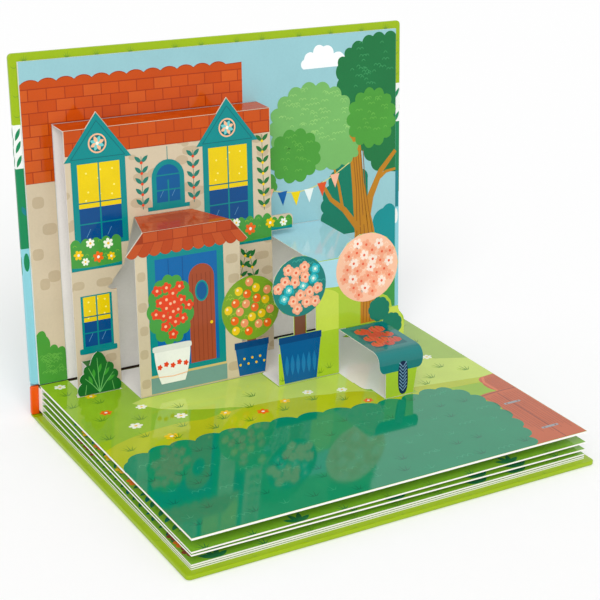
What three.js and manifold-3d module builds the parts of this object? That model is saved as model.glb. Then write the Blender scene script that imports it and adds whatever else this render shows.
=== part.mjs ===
// Landscape pop-up book, open at its first spread: the back cover and the leaves lie
// flat, the front cover stands and leans back a little, and a die-cut, folded sheet
// rises between them as a house, a porch, a garden screen, a barrow and a shrub.
// Millimetres. X runs along the hinge, Y to the back, Z up. The origin is the bottom
// centre of the book's box.
import * as THREE from 'three';
import { mergeVertices } from 'three/addons/utils/BufferGeometryUtils.js';
import Module from 'manifold-3d';

const wasm = await Module();
wasm.setup();

// Case: two equal boards and a spine board, covered with one printed wrap.
const coverWidth = 260;
const boardLength = 192;
const boardThickness = 2.5;
const boardCornerRadius = 2.5;
const hingeGroove = 8;
const wrapThickness = 0.7;
const spineThickness = 2.5;
const spineHeight = 18;
const leanDegrees = 6;

// Leaves: each is a pair of cards glued together along the fore edge.
const squareMargin = 4.5;
const floorLevel = 20.2;
const sheetThickness = 0.4;
const topLeafThickness = 0.8;
const leafThickness = 0.9;
const basePageThickness = 1;
const pastedownThickness = 0.6;
const blockBack = 5;
const blockBackDrop = 0.6;
const gutterGroove = 1.8;
const clearance = 0.3;

// Fan of the closed leaves, counted from the upper one down: the height of a leaf's top
// at the gutter, at the left front corner and at the right front corner.
const firstLeafGutter = 16.4;
const firstLeafLeft = 12.7;
const firstLeafRight = 13.3;
const secondLeafGutter = 12.6;
const secondLeafLeft = 11.1;
const secondLeafRight = 8.8;
const thirdLeafGutter = 8.6;
const thirdLeafLeft = 5.6;
const thirdLeafRight = 5.7;
const fourthLeafGutter = 4.5;
const fourthLeafLeft = 4.4;
const fourthLeafRight = 4.3;
const leafBendRows = 8;

// Pop-up pieces of the next spreads, lying folded flat on the first and third leaf.
const foldedPieceThickness = 0.5;
const foldedPieceSetback = 20;
const upperFoldedWidth = 154;
const upperFoldedLength = 144;
const upperFoldedInset = 29;
const lowerFoldedWidth = 174;
const lowerFoldedLength = 152;
const lowerFoldedInset = 55;

// House: a roof strip folded out of the standing page, and a front with two gables.
const houseLeft = -108;
const houseWidth = 131.5;
const houseHeight = 151.5;
const houseDepth = 15.6;
const gableRise = 9;
const gableHeight = 27.5;
const gableHalfWidth = 21;
const leftGableInset = 20;
const rightGableInset = 29;
const windowBoxBottom = 76;
const windowBoxHeight = 9.5;
const windowBoxReach = 15;

// Porch: folded out of the house front, with a tiled canopy that overhangs its wall.
const porchInset = 27.5;
const porchWidth = 67;
const porchHeight = 97.5;
const porchDepth = 26.4;
const canopyOverhang = 5.5;
const canopyDrop = 12.5;
const canopyFrontInset = 5.5;
const canopyBackInset = 13;
const canopyBackRightInset = 17;
const canopyScallop = 7;

// Round-headed tree in a pot, cut out beside the porch wall.
const potTreeOffset = 6.5;
const potTreeCrownHeight = 42;
const potTreeCrownRadius = 20;
const potTreePotWidth = 24;
const potTreePotHeight = 22;

// Garden screen: a deep strip from the standing page, with a sky and field panel,
// a rose tree on its left, a blossom tree and a shrub on its right.
const gardenLeft = 25;
const roseTreeOffset = 11;
const blossomOffset = 36.5;
const shrubOffset = 64;
const gardenStripWidth = 42;
const gardenHeight = 72;
const gardenDepth = 63.2;
const roseTreeCrownHeight = 59;
const roseTreeCrownRadius = 18.5;
const roseTreePotWidth = 30;
const roseTreePotHeight = 30;
const blossomHeight = 63;
const blossomHalfWidth = 22.5;
const blossomRise = 21.5;
const shrubHeight = 45;
const shrubLobe = 9.5;

// Barrow: folded out of the garden screen, with a rounded front edge.
const barrowOffset = 16.5;
const barrowWidth = 31;
const barrowHeight = 27.5;
const barrowDepth = 42.7;
const barrowRound = 7;
const barrowSkirtHeight = 12;
const barrowFootInset = 4.5;
const barrowHoleMargin = 0.5;

// Leaf shrub: a small cut-out folded forward from the house front.
const leafShrubInset = 9.5;
const leafShrubHalfWidth = 14;
const leafShrubHeight = 25.7;
const leafShrubDepth = 9.3;
const leafShrubStripWidth = 13;
const leafShrubStripHeight = 17;
const leafShrubTier = 6.5;

const lean = THREE.MathUtils.degToRad(leanDegrees);
const halfCover = coverWidth / 2;
const halfPage = halfCover - squareMargin;
const coverLength = boardLength + hingeGroove;
const pageFront = -coverLength + squareMargin;
const frontStack = sheetThickness + clearance + basePageThickness + clearance + boardThickness;
const foldY = -frontStack * Math.cos(lean);
const pageTop = boardLength - squareMargin;
const houseRight = houseLeft + houseWidth;
const leftGableCentre = houseLeft + leftGableInset;
const rightGableCentre = houseRight - rightGableInset;
const gableApexHeight = houseHeight + gableRise;
const gableEaveHeight = gableApexHeight - gableHeight;
const porchLeft = houseLeft + porchInset;
const porchRight = porchLeft + porchWidth;
const potTreeCentre = porchRight + potTreeOffset;
const leafShrubCentre = houseLeft + leafShrubInset;
const gardenStripRight = gardenLeft + gardenStripWidth;
const roseTreeCentre = gardenLeft - roseTreeOffset;
const blossomCentre = gardenLeft + blossomOffset;
const shrubRight = gardenLeft + shrubOffset;
const barrowLeft = gardenLeft + barrowOffset;
const barrowRight = barrowLeft + barrowWidth;
const houseFoot = foldY - houseDepth;
const porchFoot = houseFoot - porchDepth;
const gardenFoot = foldY - gardenDepth;
const barrowFoot = gardenFoot - barrowDepth;
const leafShrubFoot = houseFoot - leafShrubDepth;
const cutThrough = 5 * boardThickness;
const foldLap = sheetThickness / 2;
const foldDrop = sheetThickness / 4;

function solidFrom(geometry) {
  const bare = geometry.clone();
  bare.deleteAttribute('normal');
  bare.deleteAttribute('uv');
  const merged = mergeVertices(bare, 1e-4);
  return new wasm.Manifold(new wasm.Mesh({
    numProp: 3,
    vertProperties: new Float32Array(merged.attributes.position.array),
    triVerts: new Uint32Array(merged.index.array),
  }));
}

function geometryFrom(solid) {
  const mesh = solid.getMesh();
  const geometry = new THREE.BufferGeometry();
  geometry.setAttribute('position', new THREE.BufferAttribute(mesh.vertProperties, 3));
  geometry.setIndex(new THREE.BufferAttribute(mesh.triVerts, 1));
  geometry.computeVertexNormals();
  return geometry;
}

function cardMaterial(colour) {
  return new THREE.MeshStandardMaterial({ color: colour, roughness: 0.35, metalness: 0 });
}

function rectangle(left, right, low, high) {
  const shape = new THREE.Shape();
  shape.moveTo(left, low);
  shape.lineTo(right, low);
  shape.lineTo(right, high);
  shape.lineTo(left, high);
  shape.closePath();
  return shape;
}

function roundedRectangle(left, right, low, high, radius) {
  const shape = new THREE.Shape();
  shape.moveTo(left + radius, low);
  shape.lineTo(right - radius, low);
  shape.absarc(right - radius, low + radius, radius, -Math.PI / 2, 0, false);
  shape.lineTo(right, high - radius);
  shape.absarc(right - radius, high - radius, radius, 0, Math.PI / 2, false);
  shape.lineTo(left + radius, high);
  shape.absarc(left + radius, high - radius, radius, Math.PI / 2, Math.PI, false);
  shape.lineTo(left, low + radius);
  shape.absarc(left + radius, low + radius, radius, Math.PI, 1.5 * Math.PI, false);
  return shape;
}

function polygon(points) {
  const shape = new THREE.Shape();
  shape.setFromPoints(points.map(([x, y]) => new THREE.Vector2(x, y)));
  return shape;
}

function ellipse(centreX, centreY, halfWidth, halfHeight) {
  const shape = new THREE.Shape();
  shape.absellipse(centreX, centreY, halfWidth, halfHeight, 0, 2 * Math.PI, false, 0);
  return shape;
}

// A flat plate: the outline lies in X and Y, and the thickness goes up from `bottom`.
function flatPlate(shape, bottom, thickness) {
  const settings = { depth: thickness, bevelEnabled: false, curveSegments: 7 };
  const geometry = new THREE.ExtrudeGeometry(shape, settings);
  geometry.translate(0, 0, bottom);
  return solidFrom(geometry);
}

// A standing plate: the outline lies in X and Z, and the thickness goes back from `front`.
function standingPlate(shape, front, thickness) {
  const settings = { depth: thickness, bevelEnabled: false, curveSegments: 7 };
  const geometry = new THREE.ExtrudeGeometry(shape, settings);
  geometry.translate(0, 0, -thickness);
  geometry.rotateX(Math.PI / 2);
  geometry.translate(0, front, 0);
  return solidFrom(geometry);
}

function leaningBack(solid) {
  return solid.rotate([-leanDegrees, 0, 0]);
}

function joined(solids) {
  return solids.reduce((whole, solid) => whole.add(solid));
}

// Scraps that the cutting leaves loose inside an opening fall out of the sheet.
function withoutScraps(solid) {
  const pieces = solid.decompose();
  return pieces.reduce((kept, piece) => (piece.volume() > kept.volume() ? piece : kept));
}

// A pop-up's outline, given as shapes in X and height above its foot.
function outlinePlate(shapes) {
  return joined(shapes.map((shape) => standingPlate(shape, 0, sheetThickness)));
}

// The same outline laid flat from its foot towards the gutter, as it lay before folding.
function flatCutter(shapes, foot) {
  const plates = shapes.map((shape) => flatPlate(shape, -cutThrough, 2 * cutThrough));
  return joined(plates).trimByPlane([0, 1, 0], 0).translate([0, foot, floorLevel]);
}

// The part of that outline that lay past a fold, on a sheet that stands.
function standingCutter(shapes, depth) {
  const plates = shapes.map((shape) => standingPlate(shape, -cutThrough, 2 * cutThrough));
  return joined(plates).translate([0, 0, -depth]);
}

// Every outline starts a little above the sheet that its foot folds up from.
function aboveFoot(solid) {
  const reach = 4 * coverWidth;
  return solid.trimByPlane([0, 0, 1], clearance).trimByPlane([0, 0, -1], -reach);
}

function foldHeight(height) {
  return height * Math.cos(lean);
}

function foldShift(height) {
  return height * Math.sin(lean);
}

// A roof strip: it runs level from the sheet behind to the top edge of a standing front.
// Its outline is given in X and distance forward, from 0 at the back to `depth`.
function roofStrip(shape, height, depth) {
  const strip = flatPlate(shape, -sheetThickness - foldDrop, sheetThickness);
  const mirrored = strip.scale([1, -1, 1]);
  return mirrored.translate([0, depth + foldShift(height), foldHeight(height)]);
}

function gable(centre) {
  return polygon([
    [centre - gableHalfWidth, gableEaveHeight],
    [centre + gableHalfWidth, gableEaveHeight],
    [centre, gableApexHeight],
  ]);
}

function houseOutline() {
  const windowBoxTop = windowBoxBottom + windowBoxHeight;
  const windowBox = roundedRectangle(
    houseRight - windowBoxReach,
    houseRight + windowBoxReach,
    windowBoxBottom,
    windowBoxTop,
    windowBoxHeight / 3,
  );
  return [
    rectangle(houseLeft, houseRight, 0, houseHeight),
    gable(leftGableCentre),
    gable(rightGableCentre),
    windowBox,
  ];
}

// The gables rise past the fold, so the strip has notches where they were cut from it.
function houseStrip() {
  return rectangle(houseLeft, houseRight, clearance, houseDepth - foldLap);
}

function gableNotches() {
  const notches = [gable(leftGableCentre), gable(rightGableCentre)].map((shape) => {
    const plate = flatPlate(shape, -cutThrough, 2 * cutThrough);
    return plate.translate([0, foldShift(houseHeight) - houseHeight, foldHeight(houseHeight)]);
  });
  return joined(notches);
}

function canopyOutline() {
  const eave = porchHeight - canopyDrop;
  const left = porchLeft - canopyOverhang;
  const right = porchRight + canopyOverhang;
  const shape = new THREE.Shape();
  shape.moveTo(left, eave);
  const scallops = Math.round((right - left) / canopyScallop);
  const step = (right - left) / scallops;
  for (let index = 0; index < scallops; index += 1) {
    const start = left + index * step;
    shape.quadraticCurveTo(start + step / 2, eave - step / 2, start + step, eave);
  }
  shape.lineTo(porchRight - canopyFrontInset, porchHeight);
  shape.lineTo(porchLeft + canopyFrontInset, porchHeight);
  shape.closePath();
  return shape;
}

function potTree(centre, crownHeight, crownRadius, potWidth, potHeight) {
  const stemHalf = potWidth / 7;
  const pot = polygon([
    [centre - potWidth * 0.38, 0],
    [centre + potWidth * 0.38, 0],
    [centre + potWidth / 2, potHeight],
    [centre - potWidth / 2, potHeight],
  ]);
  const stem = rectangle(centre - stemHalf, centre + stemHalf, potHeight / 2, crownHeight);
  return [pot, stem, ellipse(centre, crownHeight, crownRadius, crownRadius)];
}

function porchOutline() {
  const tree = potTree(
    potTreeCentre,
    potTreeCrownHeight,
    potTreeCrownRadius,
    potTreePotWidth,
    potTreePotHeight,
  );
  const wallTop = porchHeight - canopyDrop / 2;
  return [rectangle(porchLeft, porchRight, 0, wallTop), canopyOutline(), ...tree];
}

// The canopy's level strip widens from the house front to the canopy's front fold.
function porchStrip() {
  return polygon([
    [porchLeft + canopyBackInset, clearance],
    [porchRight - canopyBackRightInset, clearance],
    [porchRight - canopyFrontInset, porchDepth - foldLap],
    [porchLeft + canopyFrontInset, porchDepth - foldLap],
  ]);
}

function gardenOutline() {
  const roseTree = potTree(
    roseTreeCentre,
    roseTreeCrownHeight,
    roseTreeCrownRadius,
    roseTreePotWidth,
    roseTreePotHeight,
  );
  const groundLeft = roseTreeCentre - roseTreePotWidth / 2;
  const groundHeight = 2 * roseTreePotHeight / 3;
  const shrubCentre = shrubRight - shrubLobe;
  return [
    rectangle(groundLeft, gardenLeft + clearance, 0, groundHeight),
    rectangle(gardenLeft, gardenStripRight, 0, gardenHeight),
    rectangle(gardenStripRight - clearance, shrubRight - shrubLobe / 2, 0, shrubHeight - shrubLobe),
    ellipse(blossomCentre, blossomHeight, blossomHalfWidth, blossomRise),
    ellipse(shrubCentre - shrubLobe, shrubHeight - shrubLobe, shrubLobe, shrubLobe),
    ellipse(shrubCentre, shrubHeight - 2.2 * shrubLobe, shrubLobe, shrubLobe),
    ellipse(shrubCentre, shrubLobe, shrubLobe, shrubLobe),
    ...roseTree,
  ];
}

function barrowOutline() {
  const skirt = barrowHeight - barrowSkirtHeight;
  const shape = new THREE.Shape();
  shape.moveTo(barrowLeft, barrowHeight);
  shape.lineTo(barrowLeft, skirt + barrowRound);
  shape.quadraticCurveTo(barrowLeft, skirt, barrowLeft + barrowFootInset, skirt);
  shape.lineTo(barrowLeft + barrowFootInset, 0);
  shape.lineTo(barrowRight - 1.6 * barrowFootInset, 0);
  shape.lineTo(barrowRight - barrowFootInset, skirt);
  shape.quadraticCurveTo(barrowRight, skirt, barrowRight, skirt + barrowRound);
  shape.lineTo(barrowRight, barrowHeight);
  shape.closePath();
  return shape;
}

function leafShrubOutline() {
  const tiers = 3;
  const shapes = [];
  for (let tier = 0; tier < tiers; tier += 1) {
    const rise = tier * leafShrubTier;
    const halfWidth = leafShrubHalfWidth * (1 - 0.27 * tier);
    shapes.push(ellipse(leafShrubCentre - halfWidth / 2, rise, halfWidth / 2, leafShrubTier + 1));
    shapes.push(ellipse(leafShrubCentre + halfWidth / 2, rise, halfWidth / 2, leafShrubTier + 1));
  }
  const crownCentre = leafShrubHeight / 2;
  shapes.push(ellipse(leafShrubCentre, crownCentre, leafShrubHalfWidth / 3, crownCentre));
  return shapes;
}

function named(name, geometry, colour) {
  const mesh = new THREE.Mesh(geometry, cardMaterial(colour));
  mesh.name = name;
  return mesh;
}

// Board with rounded corners at the fore edge, and the wrap's strip across the hinge.
function backCover() {
  const shape = roundedRectangle(-halfCover, halfCover, -coverLength, -hingeGroove, boardCornerRadius);
  const board = flatPlate(shape, 0, boardThickness);
  const stripShape = rectangle(-halfCover, halfCover, -hingeGroove - boardCornerRadius, 0);
  const strip = flatPlate(stripShape, 0, wrapThickness);
  return named('back_cover', geometryFrom(board.add(strip)), 0x9bc21a);
}

function rearPastedown() {
  const shape = rectangle(-halfPage, halfPage, pageFront, -hingeGroove);
  const sheet = flatPlate(shape, boardThickness, pastedownThickness);
  return named('rear_pastedown', geometryFrom(sheet), 0xe9ead9);
}

function spineBoard() {
  const shape = rectangle(-halfCover, halfCover, -spineThickness, 0);
  const board = flatPlate(shape, wrapThickness + clearance, spineHeight);
  return named('spine_board', geometryFrom(board), 0xe85d04);
}

// One closed leaf: its height runs smoothly from the gutter to each front corner.
function bentLeaf(fan, thickness, area) {
  const geometry = new THREE.BoxGeometry(1, 1, 1, 2, leafBendRows, 1);
  const places = geometry.attributes.position;
  const span = pageFront + spineThickness + clearance;
  for (let index = 0; index < places.count; index += 1) {
    const across = places.getX(index) + 0.5;
    const along = 0.5 - places.getY(index);
    const x = THREE.MathUtils.lerp(area.left, area.right, across);
    const y = THREE.MathUtils.lerp(area.back, area.front, along);
    const reach = THREE.MathUtils.smoothstep((y - area.gutter) / span, 0, 1);
    const corner = THREE.MathUtils.lerp(fan.left, fan.right, (x + halfPage) / (2 * halfPage));
    const top = THREE.MathUtils.lerp(fan.gutter, corner, reach) + area.raise;
    places.setXYZ(index, x, y, top + (places.getZ(index) - 0.5) * thickness);
  }
  return solidFrom(geometry);
}

function leafFans() {
  return [
    { gutter: firstLeafGutter, left: firstLeafLeft, right: firstLeafRight },
    { gutter: secondLeafGutter, left: secondLeafLeft, right: secondLeafRight },
    { gutter: thirdLeafGutter, left: thirdLeafLeft, right: thirdLeafRight },
    { gutter: fourthLeafGutter, left: fourthLeafLeft, right: fourthLeafRight },
  ];
}

// A folded pop-up piece follows its leaf and stands proud of it by its own thickness.
function foldedPiece(fan, inset, width, length, rear) {
  return bentLeaf(fan, 2 * foldedPieceThickness, {
    left: inset - halfPage,
    right: inset - halfPage + width,
    back: rear - foldedPieceSetback,
    front: rear - foldedPieceSetback - length,
    gutter: rear,
    raise: foldedPieceThickness,
  });
}

// The leaves under the open spread, the level top leaf and the glued back are one solid.
function pageBlock() {
  const rear = -spineThickness - clearance;
  const fans = leafFans();
  const leafArea = { left: -halfPage, right: halfPage, back: rear, front: pageFront };
  const leaves = fans.map((fan) => bentLeaf(fan, leafThickness, {
    ...leafArea,
    gutter: rear,
    raise: 0,
  }));
  const folded = [
    foldedPiece(fans[0], upperFoldedInset, upperFoldedWidth, upperFoldedLength, rear),
    foldedPiece(fans[2], lowerFoldedInset, lowerFoldedWidth, lowerFoldedLength, rear),
  ];
  const topLeafBottom = floorLevel - sheetThickness - topLeafThickness;
  const topLeafShape = rectangle(-halfPage, halfPage, pageFront, foldY - gutterGroove + clearance);
  const topLeaf = flatPlate(topLeafShape, topLeafBottom, topLeafThickness);
  const backBottom = fourthLeafGutter - leafThickness;
  const backShape = rectangle(-halfPage, halfPage, rear - blockBack, rear);
  const back = flatPlate(backShape, backBottom, topLeafBottom + blockBackDrop - backBottom);
  const groove = rectangle(-halfCover, halfCover, foldY - gutterGroove + clearance, 0);
  const grooveCut = flatPlate(groove, topLeafBottom - blockBackDrop, cutThrough);
  const whole = joined([topLeaf, back, ...leaves, ...folded]).subtract(grooveCut);
  return named('page_block', geometryFrom(whole), 0xeceae4);
}

// The open spread's lower half, with the openings that the pop-ups were cut from.
function floorSheet() {
  const shape = rectangle(-halfPage, halfPage, pageFront, foldY - clearance);
  const sheet = flatPlate(shape, floorLevel - sheetThickness, sheetThickness);
  const barrowStrip = rectangle(
    barrowLeft - barrowHoleMargin,
    barrowRight + barrowHoleMargin,
    barrowHeight - foldLap,
    barrowDepth,
  );
  const holes = joined([
    flatCutter(houseOutline(), houseFoot),
    flatCutter(porchOutline(), porchFoot),
    flatCutter(gardenOutline(), gardenFoot),
    flatCutter([barrowOutline(), barrowStrip], barrowFoot),
    flatCutter(leafShrubOutline(), leafShrubFoot),
  ]);
  return named('floor_sheet', geometryFrom(withoutScraps(sheet.subtract(holes))), 0xb4cf3a);
}

// The standing half of the same sheet, in front of the white page that backs it.
function backdropSheet() {
  const shape = rectangle(-halfPage, halfPage, clearance, pageTop);
  const sheet = standingPlate(shape, 0, sheetThickness);
  const houseStrip = rectangle(houseLeft, houseRight, houseHeight - houseDepth - foldLap, houseHeight);
  const gardenStrip = rectangle(gardenLeft, gardenStripRight, 0, gardenHeight);
  const holes = joined([
    standingCutter(houseOutline(), houseDepth),
    standingCutter([houseStrip, gardenStrip], 0),
    standingCutter(gardenOutline(), gardenDepth),
  ]);
  return named('backdrop_sheet', geometryFrom(withoutScraps(sheet.subtract(holes))), 0x9ccfd8);
}

function frontBasePage() {
  const shape = rectangle(-halfPage, halfPage, clearance, pageTop);
  const page = standingPlate(shape, sheetThickness + clearance, basePageThickness);
  return named('front_base_page', geometryFrom(page), 0xf1efec);
}

function frontCover() {
  const shape = roundedRectangle(-halfCover, halfCover, clearance, boardLength, boardCornerRadius);
  const board = standingPlate(shape, frontStack - boardThickness, boardThickness);
  return named('front_cover', geometryFrom(board), 0x9bc21a);
}

function housePopup() {
  const front = outlinePlate(houseOutline());
  const porchStrip = polygon([
    [porchLeft + canopyFrontInset, porchHeight - porchDepth - foldLap],
    [porchRight - canopyFrontInset, porchHeight - porchDepth - foldLap],
    [porchRight - canopyBackRightInset, porchHeight],
    [porchLeft + canopyBackInset, porchHeight],
  ]);
  const shrubStrip = rectangle(
    leafShrubCentre - leafShrubStripWidth / 2,
    leafShrubCentre + leafShrubStripWidth / 2,
    leafShrubStripHeight - leafShrubDepth,
    leafShrubStripHeight,
  );
  const holes = joined([
    standingCutter(porchOutline(), porchDepth),
    standingCutter([porchStrip, shrubStrip], 0),
    standingCutter(leafShrubOutline(), leafShrubDepth),
  ]);
  const strip = roofStrip(houseStrip(), houseHeight, houseDepth);
  const standing = leaningBack(aboveFoot(withoutScraps(front.subtract(holes))));
  const whole = standing.add(strip.subtract(gableNotches()));
  const mesh = named('house_popup', geometryFrom(whole), 0xd8cfb2);
  mesh.position.set(0, houseFoot, floorLevel);
  return mesh;
}

function porchPopup() {
  const front = leaningBack(aboveFoot(outlinePlate(porchOutline())));
  const strip = roofStrip(porchStrip(), porchHeight, porchDepth);
  const mesh = named('porch_popup', geometryFrom(front.add(strip)), 0xc05a2c);
  mesh.position.set(0, porchFoot, floorLevel);
  return mesh;
}

function gardenPopup() {
  const barrowHole = rectangle(
    barrowLeft - barrowHoleMargin,
    barrowRight + barrowHoleMargin,
    0,
    barrowHeight + clearance,
  );
  const front = outlinePlate(gardenOutline()).subtract(standingCutter([barrowHole], 0));
  const standing = leaningBack(aboveFoot(front));
  const stripShape = rectangle(gardenLeft, gardenStripRight, clearance, gardenDepth - foldLap);
  const strip = roofStrip(stripShape, gardenHeight, gardenDepth);
  const mesh = named('garden_popup', geometryFrom(standing.add(strip)), 0xa7d3dc);
  mesh.position.set(0, gardenFoot, floorLevel);
  return mesh;
}

// The barrow's top runs level from the garden screen and rolls over into its front.
function barrowSection() {
  const topY = barrowDepth + foldShift(barrowHeight) - clearance;
  const topZ = foldHeight(barrowHeight);
  const bendY = foldShift(barrowHeight);
  const alongFront = barrowHeight - barrowRound;
  const outer = new THREE.Shape();
  outer.moveTo(topY, topZ);
  outer.lineTo(bendY + barrowRound, topZ);
  outer.quadraticCurveTo(bendY, topZ, foldShift(alongFront), foldHeight(alongFront));
  outer.lineTo(0, 0);
  outer.lineTo(sheetThickness, 0);
  outer.lineTo(foldShift(alongFront) + sheetThickness, foldHeight(alongFront));
  outer.quadraticCurveTo(
    bendY + sheetThickness,
    topZ - sheetThickness,
    bendY + barrowRound,
    topZ - sheetThickness,
  );
  outer.lineTo(topY, topZ - sheetThickness);
  outer.closePath();
  return outer;
}

function barrowPopup() {
  const settings = { depth: barrowWidth, bevelEnabled: false, curveSegments: 8 };
  const section = new THREE.ExtrudeGeometry(barrowSection(), settings);
  section.rotateY(Math.PI / 2);
  section.rotateX(Math.PI / 2);
  section.translate(barrowLeft, 0, 0);
  const bentSheet = solidFrom(section);
  const reach = 2 * barrowDepth;
  const frontTrim = leaningBack(standingPlate(barrowOutline(), -reach, 2 * reach));
  const topBlock = flatPlate(
    rectangle(barrowLeft, barrowRight, barrowRound, reach),
    barrowHeight / 2,
    barrowHeight,
  );
  const trimmed = bentSheet.intersect(frontTrim.add(topBlock));
  const mesh = named('barrow_popup', geometryFrom(aboveFoot(trimmed)), 0x0a7f79);
  mesh.position.set(0, barrowFoot, floorLevel);
  return mesh;
}

function leafShrubPopup() {
  const front = leaningBack(aboveFoot(outlinePlate(leafShrubOutline())));
  const stripShape = rectangle(
    leafShrubCentre - leafShrubStripWidth / 2,
    leafShrubCentre + leafShrubStripWidth / 2,
    clearance,
    leafShrubDepth - foldLap,
  );
  const strip = roofStrip(stripShape, leafShrubStripHeight, leafShrubDepth);
  const mesh = named('leaf_shrub_popup', geometryFrom(front.add(strip)), 0x15702f);
  mesh.position.set(0, leafShrubFoot, floorLevel);
  return mesh;
}

// The front cover, its white page and the backdrop lean back together from the fold.
function leaningFront() {
  const group = new THREE.Group();
  group.position.set(0, foldY, floorLevel);
  group.rotation.x = -lean;
  group.add(frontCover(), frontBasePage(), backdropSheet());
  return group;
}

const coverBackmost = foldY + frontStack * Math.cos(lean) + boardLength * Math.sin(lean);
const book = new THREE.Group();
book.position.y = (coverLength - coverBackmost) / 2;
book.add(
  backCover(),
  rearPastedown(),
  spineBoard(),
  pageBlock(),
  floorSheet(),
  leaningFront(),
  housePopup(),
  porchPopup(),
  gardenPopup(),
  barrowPopup(),
  leafShrubPopup(),
);

export default book;
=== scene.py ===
import math

import bpy
import numpy as np
from mathutils import Matrix


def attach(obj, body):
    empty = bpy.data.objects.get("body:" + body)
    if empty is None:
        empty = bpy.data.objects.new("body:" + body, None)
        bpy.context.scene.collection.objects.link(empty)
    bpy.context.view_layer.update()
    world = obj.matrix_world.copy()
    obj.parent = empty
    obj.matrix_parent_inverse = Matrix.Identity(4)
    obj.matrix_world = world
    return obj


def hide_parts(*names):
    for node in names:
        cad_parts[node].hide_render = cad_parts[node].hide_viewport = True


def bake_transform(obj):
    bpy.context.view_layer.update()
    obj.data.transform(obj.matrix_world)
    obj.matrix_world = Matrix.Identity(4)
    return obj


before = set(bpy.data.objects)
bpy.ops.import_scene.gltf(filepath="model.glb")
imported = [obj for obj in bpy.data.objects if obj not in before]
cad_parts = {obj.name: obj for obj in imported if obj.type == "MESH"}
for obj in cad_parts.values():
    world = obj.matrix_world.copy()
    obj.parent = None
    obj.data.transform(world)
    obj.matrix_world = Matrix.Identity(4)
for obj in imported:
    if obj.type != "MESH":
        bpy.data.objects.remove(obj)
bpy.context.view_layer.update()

# Case boards: two stiff greyboard panels in one glossy printed paper wrap, lime green
# with small tufts of grass. The wrap is turned over the edges and softly rounds them.
MM = 0.001
LEAN = math.radians(6.0)
STEEP = (0.0, math.sin(LEAN), math.cos(LEAN))
HINGE_Y = 89.965
FOLD_Y = HINGE_Y - 4.475
FLOOR_TOP = 20.2
COVER_HALF = 130.0
COVER_FRONT = -200.0
BOARD_TOP = 192.0
BOARD_THICK = 2.5
PRINT_HALF = 125.4
BAND_SPAN = 250.0
EDGE_ROLL = 0.5


def srgb(red, green, blue):
    """A colour in 0 to 255 steps, turned into linear light: ((c + 0.055) / 1.055) to the power 2.4."""
    steps = np.array([red, green, blue], float) / 255.0
    linear = np.where(steps <= 0.04045, steps / 12.92, ((steps + 0.055) / 1.055) ** 2.4)
    return (*linear.tolist(), 1.0)


def plane(origin, right, up):
    """A drawing plane: origin in millimetres, its right and up, and right x up as its outward side."""
    right, up = np.array(right, float), np.array(up, float)
    return np.array(origin, float), right, up, np.cross(right, up)


def standing_plane(foot):
    """The face of a card that stands on the floor sheet at Y = foot and leans back."""
    return plane((0, foot, FLOOR_TOP), (1, 0, 0), STEEP)


def level_plane(y, z):
    """A level face that looks up, drawn with X to the right and Y upwards."""
    return plane((0, y, z), (1, 0, 0), (0, 1, 0))


def strip_plane(foot, height, drop=0.1):
    """The level face of a strip that is folded back at that height of a leaning card."""
    return level_plane(foot + height * math.sin(LEAN), FLOOR_TOP + height * math.cos(LEAN) - drop)


def on_plane(where, x, u, out):
    """Point = origin + x along right + u along up + out along the outward side, in metres."""
    origin, right, up, outward = where
    x, u, out = np.broadcast_arrays(np.asarray(x, float), np.asarray(u, float), np.asarray(out, float))
    return (origin + x[..., None] * right + u[..., None] * up + out[..., None] * outward) * MM


def link_mesh(name, points, faces, material, smooth=False):
    """Puts points and faces into a mesh object that lies at the origin."""
    mesh = bpy.data.meshes.new(name)
    mesh.from_pydata(np.asarray(points).reshape(-1, 3).tolist(), [], faces)
    mesh.materials.append(material)
    mesh.polygons.foreach_set("use_smooth", np.full(len(mesh.polygons), smooth))
    mesh.update()
    thing = bpy.data.objects.new(name, mesh)
    bpy.context.collection.objects.link(thing)
    return thing


def rings_to_faces(rings, count):
    """Quads between neighbouring rings of a closed outline, and a flat face on the first and last."""
    start = np.arange(rings - 1)[:, None] * count
    here = np.arange(count)[None, :]
    ahead = (here + 1) % count
    quads = np.stack([start + here, start + count + here, start + count + ahead, start + ahead], -1)
    last = list(range((rings - 1) * count, rings * count))[::-1]
    return quads.reshape(-1, 4).tolist() + [list(range(count)), last]


def rolled_board(name, where, extent, corner, front, back, material):
    """A rounded rectangle. At both faces its edge shrinks by roll (1 - sin a) as it falls back by
    roll (1 - cos a), with a from 0 to a quarter turn."""
    left, right, low, high = extent
    turn = np.linspace(0.0, math.pi / 2, 5)
    shrink = EDGE_ROLL * (1 - np.sin(turn))
    fall = EDGE_ROLL * (1 - np.cos(turn))
    inset = np.concatenate([shrink, shrink[::-1]])
    out = np.concatenate([front - fall, (back + fall)[::-1]])
    quarter = np.linspace(0.0, math.pi / 2, 7)
    around = np.concatenate([quarter + k * math.pi / 2 for k in range(4)])
    centre_x = np.repeat([right - corner, left + corner, left + corner, right - corner], 7)
    centre_u = np.repeat([high - corner, high - corner, low + corner, low + corner], 7)
    radius = corner - inset[:, None]
    x = centre_x + radius * np.cos(around)
    u = centre_u + radius * np.sin(around)
    points = on_plane(where, x, u, out[:, None])
    board = link_mesh(name, points, rings_to_faces(len(inset), len(around)), material, smooth=True)
    board.data.set_sharp_from_angle(angle=math.radians(50))
    return board


def wire(tree, kind, inputs, output=0, **settings):
    """Adds one shader node with its plain settings. Each of its inputs takes a value or another
    node's output; one of its own outputs is given back."""
    made = tree.nodes.new(kind)
    for key, value in settings.items():
        setattr(made, key, value)
    for key, value in inputs.items():
        if isinstance(value, bpy.types.NodeSocket):
            tree.links.new(value, made.inputs[key])
        else:
            made.inputs[key].default_value = value
    return made.outputs[output]


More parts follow.
